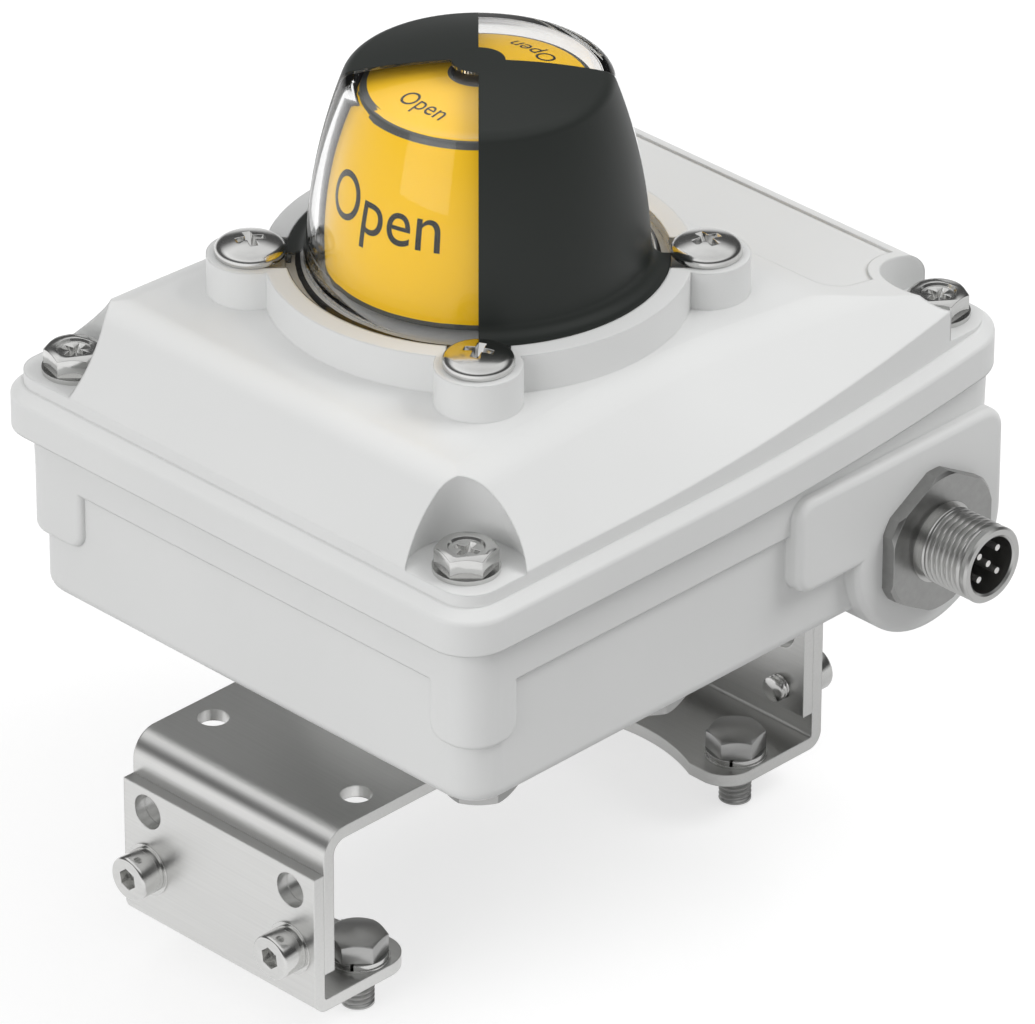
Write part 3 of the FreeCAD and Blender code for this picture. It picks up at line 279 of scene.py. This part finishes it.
def make_clear_shell():
    """Clear moulded plastic that lets light in, with faint flow marks in its gloss."""
    made, tree, shader = material("Clear dome plastic")
    shader.inputs["Transmission Weight"].default_value = 1.0
    shader.inputs["IOR"].default_value = 1.3
    shader.inputs["Base Color"].default_value = (1.0, 1.0, 1.0, 1)
    place = node(tree, "ShaderNodeTexCoord", (-900, 0)).outputs["Object"]
    flow = noise(tree, (-700, 0), place, Scale=60.0, Detail=2.0).outputs["Fac"]
    link(tree, spread(tree, (-450, 0), flow, To_Min=0.01, To_Max=0.04), shader.inputs["Roughness"])
    path = node(tree, "ShaderNodeLightPath", (-300, 400)).outputs
    lit_through = calculate(tree, "MAXIMUM", (-50, 400), path["Is Shadow Ray"], path["Is Diffuse Ray"])
    through = node(tree, "ShaderNodeBsdfTransparent", (100, -150), Color=(0.985, 0.99, 0.99, 1))
    mix = node(tree, "ShaderNodeMixShader", (400, 100))
    link(tree, lit_through, mix.inputs[0])
    link(tree, shader.outputs[0], mix.inputs[1])
    link(tree, through.outputs[0], mix.inputs[2])
    link(tree, mix.outputs[0], tree.nodes["Material Output"].inputs["Surface"])
    return made


YELLOW = (0.98, 0.58, 0.012)
HOUSING_COAT = grained("Light grey powder coat", (0.72, 0.725, 0.72), (0.70, 0.705, 0.70), 1500.0, 0.10, 0.0005)
SEAL_RUBBER = grained("Black seal rubber", (0.03, 0.03, 0.03), (0.02, 0.02, 0.02), 900.0, 0.2)
DOME_BLACK = grained("Black dome plastic", (0.024, 0.027, 0.025), (0.020, 0.023, 0.021), 1800.0, 0.05, 0.0004,
                     sheen_level=0.22)
DRUM_GREY = grained("Dark grey drum plastic", (0.075, 0.078, 0.077), (0.06, 0.063, 0.062), 1200.0, 0.05)
PANEL_YELLOW = grained("Yellow panel plastic", YELLOW, (0.96, 0.55, 0.008), 1500.0, 0.04, sheen_level=0.2)
PANEL_RED = edged_panel("Red panel plastic", (0.60, 0.03, 0.02), (0.54, 0.025, 0.02), YELLOW, 0.0052)
LETTER_INK = grained("Dark printing ink", (0.018, 0.02, 0.02), (0.014, 0.016, 0.016), 2500.0, 0.1, sheen_level=0.2)
INSERT_BLACK = grained("Black insert plastic", (0.035, 0.035, 0.035), (0.028, 0.028, 0.028), 1500.0, 0.1)
BOARD_GREEN = grained("Green board lacquer", (0.02, 0.16, 0.06), (0.015, 0.11, 0.045), 700.0, 0.1, coat=0.4)
TERMINAL_GREEN = grained("Green terminal plastic", (0.05, 0.36, 0.13), (0.04, 0.30, 0.10), 1200.0, 0.1)
SENSOR_BLUE = grained("Blue sensor plastic", (0.03, 0.10, 0.30), (0.025, 0.08, 0.25), 1200.0, 0.1)
CAM_YELLOW = grained("Yellow cam plastic", (0.80, 0.50, 0.03), (0.74, 0.45, 0.02), 1200.0, 0.1)
CAM_RED = grained("Red cam plastic", (0.55, 0.04, 0.03), (0.48, 0.03, 0.02), 1200.0, 0.1)
SHEET_STEEL = metal("Brushed sheet steel", (0.72, 0.72, 0.71), (0.62, 0.62, 0.61), (2600.0, 40.0, 2600.0),
                    0.26, 0.36, 0.12, 0.0003)
SCREW_STEEL = metal("Bright screw steel", (0.70, 0.70, 0.69), (0.60, 0.60, 0.59), (500.0, 500.0, 1800.0),
                    0.12, 0.20, 0.03, 0.00012)
SHAFT_STEEL = metal("Turned shaft steel", (0.75, 0.75, 0.74), (0.60, 0.60, 0.59), (60.0, 60.0, 3000.0), 0.2, 0.3)
HEXAGON_STEEL = metal("Dull hexagon steel", (0.46, 0.46, 0.455), (0.38, 0.38, 0.375), (400.0, 400.0, 1200.0),
                      0.26, 0.34, 0.03, 0.00012)
PLUG_PLATE = metal("Nickel plated plug", (0.58, 0.58, 0.57), (0.52, 0.52, 0.51), (300.0, 900.0, 300.0),
                   0.26, 0.34, 0.0)
DISC_PLATE = metal("Turned plug disc", (0.40, 0.40, 0.395), (0.30, 0.30, 0.295), (700.0, 700.0, 700.0),
                   0.26, 0.34, 0.15, 0.00015)
PIN_SILVER = metal("Silvered pins", (0.86, 0.85, 0.83), (0.78, 0.77, 0.75), (900.0, 900.0, 900.0), 0.3, 0.42)
BUSH_BRONZE = metal("Bearing bronze", (0.62, 0.42, 0.20), (0.50, 0.32, 0.14), (600.0, 600.0, 2000.0), 0.25, 0.4)
CLEAR_SHELL = make_clear_shell()

FINISHED_NODES = [
    (HOUSING_COAT, ("housing_base", "housing_lid")),
    (SEAL_RUBBER, ("lid_gasket", "dome_seal", "shaft_seals", "connector_seal")),
    (SCREW_STEEL, ("lid_screws", "lid_screw_washers", "dome_screws", "indicator_screw", "shaft_retaining_rings",
                   "cam_target_lower", "cam_target_upper", "board_screws", "hub_spring_washers",
                   "foot_spring_washers", "foot_flat_washers", "side_screws", "side_screw_washers")),
    (HEXAGON_STEEL, ("hub_screws", "foot_screws")),
    (SHEET_STEEL, ("top_angle_left", "top_angle_right", "foot_angle_left", "foot_angle_right")),
    (CLEAR_SHELL, ("dome_clear",)),
    (DOME_BLACK, ("dome_mask",)),
    (DRUM_GREY, ("indicator_drum",)),
    (PANEL_YELLOW, ("indicator_open_panels",)),
    (PANEL_RED, ("indicator_closed_panels",)),
    (SHAFT_STEEL, ("shaft",)),
    (BUSH_BRONZE, ("shaft_bush",)),
    (CAM_RED, ("cam_lower",)),
    (CAM_YELLOW, ("cam_upper",)),
    (SENSOR_BLUE, ("sensor_lower", "sensor_upper")),
    (BOARD_GREEN, ("circuit_board",)),
    (TERMINAL_GREEN, ("terminal_strip",)),
    (DISC_PLATE, ("connector_flange",)),
    (PLUG_PLATE, ("connector_body",)),
    (INSERT_BLACK, ("connector_insert",)),
    (PIN_SILVER, ("connector_pins",)),
]
for finish, names in FINISHED_NODES:
    for name in names:
        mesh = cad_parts[name].data
        mesh.materials.clear()
        mesh.materials.append(finish)


# Mesh helpers, sizes in millimetres
def shade(mesh):
    """Smooth faces, with edges sharper than 32 degrees kept crisp."""
    form = bmesh.new()
    form.from_mesh(mesh)
    limit = math.radians(32.0)
    for face in form.faces:
        face.smooth = True
    for edge in form.edges:
        edge.smooth = len(edge.link_faces) == 2 and edge.calc_face_angle(0.0) < limit
    form.to_mesh(mesh)
    form.free()


def new_object(name, mesh):
    made = bpy.data.objects.new(name, mesh)
    bpy.context.scene.collection.objects.link(made)
    return made


def solid(name, form, finish=None):
    """Object from a bmesh in millimetres."""
    bmesh.ops.recalc_face_normals(form, faces=form.faces)
    mesh = bpy.data.meshes.new(name)
    form.to_mesh(mesh)
    form.free()
    mesh.transform(Matrix.Scale(MM, 4))
    if finish:
        mesh.materials.append(finish)
    return new_object(name, mesh)


def evaluated_mesh(piece):
    graph = bpy.context.evaluated_depsgraph_get()
    return bpy.data.meshes.new_from_object(piece.evaluated_get(graph))


def apply_modifiers(piece):
    mesh = evaluated_mesh(piece)
    piece.modifiers.clear()
    piece.data = mesh


def carve(piece, cutter):
    """Cuts the cutter out of a piece and removes the cutter."""
    made = piece.modifiers.new("carve", "BOOLEAN")
    made.operation = "DIFFERENCE"
    made.solver = "EXACT"
    made.object = cutter
    apply_modifiers(piece)
    bpy.data.objects.remove(cutter)


def soften(piece, width):
    """Rounds every edge sharper than 35 degrees."""
    made = piece.modifiers.new("soft edge", "BEVEL")
    made.width = width * MM
    made.segments = 2
    made.limit_method = "ANGLE"
    made.angle_limit = math.radians(35.0)
    apply_modifiers(piece)


def around(r, turn, z):
    """Point at a radius, turned by a share of a full turn."""
    return r * math.cos(FULL_TURN * turn), r * math.sin(FULL_TURN * turn), z


def ring_of(form, r, z, steps=48):
    return [form.verts.new(around(r, i / steps, z)) for i in range(steps)]


def bridge(form, low, high):
    """Faces between two rings of as many vertices."""
    for i in range(len(low)):
        j = (i + 1) % len(low)
        form.faces.new((low[i], low[j], high[j], high[i]))


def lathe(form, profile, steps=64):
    """Turns a profile of (radius, height) pairs round Z; a radius of 0 closes the end."""
    rings = [ring_of(form, r, z, steps) if r > 0 else [form.verts.new((0, 0, z))] for r, z in profile]
    for low, high in zip(rings, rings[1:]):
        for i in range(steps):
            j = (i + 1) % steps
            corners = [low[i % len(low)], low[j % len(low)], high[j % len(high)], high[i % len(high)]]
            form.faces.new(list(dict.fromkeys(corners)))


def turned_solid(name, profile, finish=None, steps=48):
    form = bmesh.new()
    lathe(form, profile, steps)
    return solid(name, form, finish)


def thread(form, r, depth, pitch, z0, z1, steps=48, per_turn=8):
    """Open threaded tube from z0 to z1: the radius follows a helix, and fades into the ends."""
    rows = max(2, round((z1 - z0) / pitch * per_turn))
    rings = []
    for k in range(rows + 1):
        z = z0 + (z1 - z0) * k / rows
        fade = max(0.0, min(1.0, (z - z0) / pitch, (z1 - z) / pitch))
        ring_verts = []
        for i in range(steps):
            turn = i / steps
            phase = (z / pitch - turn) % 1.0
            wave = 1.0 - abs(2.0 * phase - 1.0)
            wave = min(1.0, max(0.0, 1.5 * wave - 0.25))
            radius = r - depth * (1.0 - wave) * fade
            ring_verts.append(form.verts.new(around(radius, turn, z)))
        rings.append(ring_verts)
    for low, high in zip(rings, rings[1:]):
        bridge(form, low, high)
    return rings[0], rings[-1]


def threaded_stud(name, tip, thread_sizes, top, finish):
    """Stud with a narrower tip, a thread and a plain shank; tip and top are pairs of radius and height."""
    form = bmesh.new()
    low, high = thread(form, *thread_sizes)
    tip_ring = ring_of(form, *tip)
    top_ring = ring_of(form, *top)
    bridge(form, tip_ring, low)
    bridge(form, high, top_ring)
    form.faces.new(tip_ring)
    form.faces.new(top_ring)
    return solid(name, form, finish)


def cross_cutter(r, width, depth, top):
    """Tapered cross that a screwdriver fits, pointing down from the level top."""
    form = bmesh.new()
    rings = []
    for z, reach, half in ((top + 1.0, r * 1.25, width * 0.62), (top - depth, r * 0.35, width * 0.34)):
        ring_verts = []
        for turn in range(4):
            a = math.radians(90 * turn)
            for u, v in ((reach, -half), (reach, half), (half, half)):
                ring_verts.append(form.verts.new((
                    u * math.cos(a) - v * math.sin(a), u * math.sin(a) + v * math.cos(a), z)))
        rings.append(ring_verts)
    high, low = rings
    form.faces.new(high)
    form.faces.new(low[::-1])
    bridge(form, low, high)
    return solid("cutter", form)


def hex_block(flats, z0, z1, turn):
    """Hexagonal prism, its first corner turned by an angle in degrees."""
    form = bmesh.new()
    r = flats / 2 / math.cos(math.pi / 6)
    low, high = ([form.verts.new(around(r, (turn + 60 * i) / 360, z)) for i in range(6)] for z in (z0, z1))
    form.faces.new(low)
    form.faces.new(high)
    bridge(form, low, high)
    return form


def hexagon_head(name, foot, top, finish):
    """Hexagon head whose upper corners are turned off by a cone of 30 degrees."""
    head = solid(name, hex_block(HEX_FLATS, foot, top, 0.0), finish)
    inner = HEX_FLATS / 2 * 0.97
    wall = HEX_FLATS / 2 + 3.0
    start = (inner, top + 0.02)
    form = bmesh.new()
    lathe(form, [start, (inner, top + 3), (wall, top + 3), (wall, top - (wall - inner) * math.tan(math.pi / 6)),
                 start], 72)
    bmesh.ops.remove_doubles(form, verts=form.verts, dist=1e-4)
    carve(head, solid("cone", form))
    return head


def joined(name, pieces):
    """One object from several, all in the frame of the part."""
    form = bmesh.new()
    for piece in pieces:
        piece.data.transform(piece.matrix_world)
        form.from_mesh(piece.data)
    mesh = bpy.data.meshes.new(name)
    form.to_mesh(mesh)
    form.free()
    for finish in pieces[0].data.materials:
        mesh.materials.append(finish)
    for piece in pieces:
        bpy.data.objects.remove(piece)
    return new_object(name, mesh)


def copies(piece, name, places):
    """Copies of one piece at places given by matrices in metres, joined into one object."""
    made = []
    for place in places:
        twin = new_object(name, piece.data.copy())
        twin.data.transform(place)
        made.append(twin)
    bpy.data.objects.remove(piece)
    return joined(name, made)


def at(x, y, z, angle, axis="Z"):
    """Place in metres, from millimetres and a turn in degrees."""
    return Matrix.Translation((x * MM, y * MM, z * MM)) @ Matrix.Rotation(math.radians(angle), 4, axis)


def place_piece(piece, body, slot_name, *nodes):
    shade(piece.data)
    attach(piece, body)
    if nodes:
        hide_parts(*nodes)


# Dome screws: pan head with a cross recess
def make_dome_screws():
    shoulder = [(5.25, 0.85), (5.17, 1.1), (5.0, 1.34), (4.74, 1.55), (4.42, 1.72), (4.1, 1.83)]
    crown = [(3.3, 2.06), (2.4, 2.27), (1.3, 2.44), (0, 2.5)]
    head = turned_solid("dome_screw", [(0, 0), (5.1, 0), (5.25, 0.15)] + shoulder + crown, SCREW_STEEL, 72)
    carve(head, cross_cutter(2.6, 1.2, 1.7, 2.5))
    soften(head, 0.07)
    end = -DOME_SCREW_LENGTH
    shank = turned_solid("shank", [(0, end), (M5_TIP_R, end), (M5_R, end + M5_CHAMFER), (M5_R, 0), (0, 0)],
                         SCREW_STEEL)
    one = joined("dome_screw", [head, shank])
    places = [at(x, y, RING_TOP, turn) for (x, y), turn in zip(DOME_PLACES, DOME_TURNS)]
    place_piece(copies(one, "dome_pan_screws", places), "housing", "stainless", "dome_screws")


# Lid screws: hexagon head with a shallow dish and a cross recess
def make_lid_screws():
    head = hexagon_head("lid_screw", LID_HEAD_FOOT, LID_HEAD_TOP, SCREW_STEEL)
    carve(head, turned_solid("dish", [(0, LID_DISH_FLOOR), (2.55, LID_DISH_FLOOR), (2.9, LID_DISH_FLOOR + 1),
                                      (0, LID_DISH_FLOOR + 1)]))
    carve(head, cross_cutter(2.2, 1.0, 1.8, LID_DISH_FLOOR))
    soften(head, 0.1)
    end = -LID_SCREW_LENGTH
    shank = turned_solid("shank", [(0, end), (M5_TIP_R, end), (M5_R, end + M5_CHAMFER), (M5_R, LID_HEAD_FOOT),
                                   (0, LID_HEAD_FOOT)], SCREW_STEEL)
    one = joined("lid_screw", [head, shank])
    places = [at(x, y, z, turn) for (x, y, z), turn in zip(LID_PLACES, LID_TURNS)]
    place_piece(copies(one, "lid_hexagon_screws", places), "housing", "stainless", "lid_screws")


# Foot screws: plain hexagon head and a threaded end below the foot
def make_foot_screws():
    head = hexagon_head("foot_screw", FOOT_HEAD_FOOT, FOOT_HEAD_TOP, HEXAGON_STEEL)
    soften(head, 0.1)
    stud = threaded_stud("stud", (FOOT_TIP_R, FOOT_TIP_Z), (M5_R, M5_THREAD_DEPTH, M5_PITCH, FOOT_THREAD_END, 0.0),
                         (M5_TIP_R, FOOT_HEAD_FOOT), HEXAGON_STEEL)
    one = joined("foot_screw", [head, stud])
    places = [at(x, y, 0, FOOT_TURN) for x, y in FOOT_PLACES]
    place_piece(copies(one, "foot_hexagon_screws", places), "housing", "stainless", "foot_screws")


# Side screws: cap heads with a hexagon socket, threaded tips on the inner side
def make_side_screws():
    r, top = SIDE_HEAD_R, SIDE_HEAD
    head = turned_solid("side_screw", [(0, 0), (r, 0), (r, top - 0.45), (r - 0.08, top - 0.2), (r - 0.3, top),
                                       (0, top)], SCREW_STEEL, 72)
    carve(head, solid("socket", hex_block(SIDE_SOCKET, SIDE_SOCKET_FLOOR, top + 1, 10.0)))
    soften(head, 0.06)
    stud = threaded_stud("tip", (SIDE_TIP_R, SIDE_TIP_Z), (M4_R, M4_THREAD_DEPTH, M4_PITCH, *SIDE_THREAD),
                         (M4_R, 0), SCREW_STEEL)
    one = joined("side_screw", [head, stud])
    places = [at(sx * SIDE_SEAT, sy * SIDE_Y, SIDE_Z, 90 * sx, "Y") for sx in (-1, 1) for sy in (-1, 1)]
    place_piece(copies(one, "side_cap_screws", places), "housing", "stainless", "side_screws")


# Plug body: neck behind a threaded sleeve with a smooth end collar and a deep bore
def make_plug():
    form = bmesh.new()
    thread(form, PLUG_THREAD_R, PLUG_THREAD_DEPTH, PLUG_PITCH, PLUG_THREAD_START, PLUG_THREAD_END, 96, 12)
    lathe(form, [(PLUG_BORE_R, PLUG_REAR), (PLUG_REAR_R, PLUG_REAR), (PLUG_REAR_R, 0), (PLUG_NECK_R, 0),
                 (PLUG_NECK_R, PLUG_NECK), (PLUG_THREAD_R, PLUG_THREAD_START)], 96)
    lathe(form, [(PLUG_THREAD_R, PLUG_THREAD_END), (PLUG_COLLAR_R, PLUG_FRONT - 0.35),
                 (PLUG_COLLAR_R - 0.3, PLUG_FRONT), (PLUG_BORE_R + 0.35, PLUG_FRONT),
                 (PLUG_BORE_R, PLUG_FRONT - 0.3), (PLUG_BORE_R, PLUG_REAR)], 96)
    bmesh.ops.remove_doubles(form, verts=form.verts, dist=0.01)
    sleeve = solid("plug_threaded_sleeve", form, PLUG_PLATE)
    sleeve.data.transform(at(PLUG_X, PLUG_FACE, PLUG_Z, 90, "X"))
    place_piece(sleeve, "housing", "plated", "connector_body")


# Lettering on the indicator: plain words laid on the drum's side and top
def drum_surface():
    """Search tree over the faces of the drum and its panels, in metres."""
    form = bmesh.new()
    for name in ("indicator_drum", "indicator_open_panels", "indicator_closed_panels"):
        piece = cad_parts[name]
        mesh = piece.data.copy()
        mesh.transform(piece.matrix_world)
        form.from_mesh(mesh)
        bpy.data.meshes.remove(mesh)
    tree = BVHTree.FromBMesh(form)
    form.free()
    return tree


DRUM_SURFACE = drum_surface()


def word_mesh(text, height):
    """Flat word in metres, its capitals as high as said, cut finely enough to follow a curved face."""
    curve = bpy.data.curves.new("word", "FONT")
    curve.body = text
    curve.size = height * WORD_SCALE[text] / CAPITAL_SHARE * MM
    curve.align_x = "CENTER"
    curve.resolution_u = 6
    holder = new_object("word", curve)
    mesh = evaluated_mesh(holder)
    bpy.data.objects.remove(holder)
    mesh.transform(Matrix.Diagonal((WORD_NARROW, 1, 1, 1)))
    form = bmesh.new()
    form.from_mesh(mesh)
    bmesh.ops.triangulate(form, faces=form.faces)
    long_edges = [e for e in form.edges if e.calc_length() > WORD_STEP * MM]
    bmesh.ops.subdivide_edges(form, edges=long_edges, cuts=3)
    bmesh.ops.triangulate(form, faces=form.faces)
    form.to_mesh(mesh)
    form.free()
    return mesh


def lay_word(name, mesh):
    mesh.materials.append(LETTER_INK)
    place_piece(new_object(name, mesh), "rotor", "insert_black")


def outward(angle):
    return Vector((math.cos(angle), math.sin(angle), 0))


def make_side_word(name, text, heading):
    """Word on the drum's side, centred on the heading in degrees, reading left to right from outside."""
    mesh = word_mesh(text, SIDE_WORD_HEIGHT)
    for vert in mesh.vertices:
        out = outward(math.radians(heading) + vert.co.x / MM / SIDE_WORD_RADIUS)
        start = out * OUTSIDE_DRUM * MM + Vector((0, 0, SIDE_WORD_FOOT * MM + vert.co.y))
        hit = DRUM_SURFACE.ray_cast(start, -out)[0]
        vert.co = hit + out * WORD_LIFT * MM
    lay_word(name, mesh)


def make_top_word(name, text, heading):
    """Word on the drum's top, its foot toward the rim at the heading."""
    mesh = word_mesh(text, TOP_WORD_HEIGHT)
    out = outward(math.radians(heading))
    right = outward(math.radians(heading + 90))
    for vert in mesh.vertices:
        flat = out * (TOP_WORD_REACH * MM - vert.co.y) + right * (TOP_WORD_ASIDE * MM + vert.co.x)
        start = Vector((flat.x, flat.y, ABOVE_DRUM * MM))
        hit = DRUM_SURFACE.ray_cast(start, Vector((0, 0, -1)))[0]
        vert.co = hit + Vector((0, 0, WORD_LIFT * MM))
    lay_word(name, mesh)


make_dome_screws()
make_lid_screws()
make_foot_screws()
make_side_screws()
make_plug()
for name, word, heading in (("open_word_left", "Open", 180), ("open_word_right", "Open", 0),
                            ("closed_word_front", "Closed", -90), ("closed_word_back", "Closed", 90)):
    make_side_word(name + "_side", word, heading + SIDE_WORD_TURN)
    make_top_word(name + "_top", word, heading)


# Stage: pale floor that stays white to the eye, three soft lamps and a pale surround
def make_floor():
    """Floor that takes shadows; metal mirrors it paler toward -X and darker toward +X and -Y."""
    made, tree, shader = material("Pale floor")
    shader.inputs["Base Color"].default_value = (0.45, 0.45, 0.45, 1)
    shader.inputs["Roughness"].default_value = 0.9
    shader.inputs["Specular IOR Level"].default_value = 0.0
    shader.inputs["Emission Color"].default_value = (1, 1, 1, 1)
    path = node(tree, "ShaderNodeLightPath", (-700, -200)).outputs
    seen = calculate(tree, "MAXIMUM", (-450, -200), path["Is Camera Ray"], path["Is Transmission Ray"])
    place = node(tree, "ShaderNodeTexCoord", (-1300, -600)).outputs["Object"]
    heading = operate(tree, "ShaderNodeVectorMath", "NORMALIZE", (-1100, -600), place)[0]
    ahead = toward(tree, (-900, -600), heading, (0.707, -0.707, 0.0))
    pale = spread(tree, (-700, -600), ahead, From_Min=-0.2, From_Max=0.9, To_Min=1.0, To_Max=0.4)
    mirrored = calculate(tree, "MULTIPLY", (-500, -500), path["Is Glossy Ray"], pale)
    either = calculate(tree, "MAXIMUM", (-350, -350), seen, mirrored)
    link(tree, calculate(tree, "MULTIPLY", (-250, -200), either, 0.62), shader.inputs["Emission Strength"])
    form = bmesh.new()
    half = 3000.0
    form.faces.new([form.verts.new((x, y, FLOOR_Z))
                    for x, y in ((-half, -half), (half, -half), (half, half), (-half, half))])
    solid("studio_floor", form, made)


def make_lamp(name, place, aim_z, width, height, power):
    """Soft lamp aimed at a height on the shaft axis, in metres and watts; polished faces don't mirror it."""
    data = bpy.data.lights.new(name, "AREA")
    data.shape = "RECTANGLE"
    data.size = width
    data.size_y = height
    data.energy = power
    lamp = new_object(name, data)
    lamp.location = place
    lamp.rotation_euler = (Vector((0, 0, aim_z)) - Vector(place)).to_track_quat("-Z", "Y").to_euler()
    lamp.visible_glossy = False


def make_surround():
    """Pale studio round the object: an even tone for its light, a banded one that metal and glass mirror."""
    world = bpy.data.worlds.new("Studio surround")
    bpy.context.scene.world = world
    world.use_nodes = True
    tree = world.node_tree
    ground = tree.nodes["Background"]
    place = node(tree, "ShaderNodeTexCoord", (-1100, 0)).outputs["Generated"]
    split = node(tree, "ShaderNodeSeparateXYZ", (-900, 0))
    link(tree, place, split.inputs[0])
    height = spread(tree, (-700, -200), split.outputs["Z"], From_Min=-1.0, From_Max=1.0)
    even = ramp(tree, (-450, 0), height, [(0.0, 0.75), (0.35, 0.35), (0.75, 0.62), (1.0, 0.80)])
    bands = ramp(tree, (-450, -300), height,
                 [(0.0, 0.8), (0.52, 0.85), (0.60, 0.09), (0.76, 0.12), (0.86, 1.1), (1.0, 0.9)])
    path = node(tree, "ShaderNodeLightPath", (-650, 600)).outputs
    link(tree, mixed(tree, (-200, 0), path["Is Glossy Ray"], even, bands), ground.inputs["Color"])
    ahead = toward(tree, (-900, 300), place, (0.8, -0.6, 0.0))
    level = spread(tree, (-650, 300), ahead, From_Min=-1.0, From_Max=1.0, To_Min=1.12, To_Max=0.74)
    link(tree, level, ground.inputs["Strength"])


def make_camera():
    """Camera of the photograph, a long lens shifted a little to one side."""
    data = bpy.data.cameras.new("camera")
    data.sensor_width = 36.0
    data.lens = data.sensor_width * FOCAL_LENGTH / PHOTO_WIDTH
    data.shift_x = SIDE_SHIFT / PHOTO_WIDTH
    data.clip_end = 20.0
    camera = new_object("camera", data)
    azimuth, elevation = math.radians(AZIMUTH), math.radians(ELEVATION)
    back = Vector((math.sin(azimuth) * math.cos(elevation), -math.cos(azimuth) * math.cos(elevation),
                   math.sin(elevation)))
    right = Vector((math.cos(azimuth), math.sin(azimuth), 0))
    up = back.cross(right)
    place = (Vector((0, 0, AIM_HEIGHT)) + back * DISTANCE + up * CAMERA_RISE) * MM
    turn = Matrix((right, up, back)).transposed().to_4x4()
    camera.matrix_world = Matrix.Translation(place) @ turn
    bpy.context.scene.camera = camera


make_floor()
make_surround()
make_lamp("lamp_left", (-1.3, -0.1, 0.55), 0.05, 1.0, 0.9, 8.0)
make_lamp("lamp_front_high", (0.82, -0.67, 1.1), 0.06, 0.9, 0.8, 10.3)
make_lamp("lamp_top_back", (0.5, 0.7, 1.3), 0.06, 1.1, 1.1, 2.3)
make_camera()
bpy.context.scene.view_settings.view_transform = "Standard"
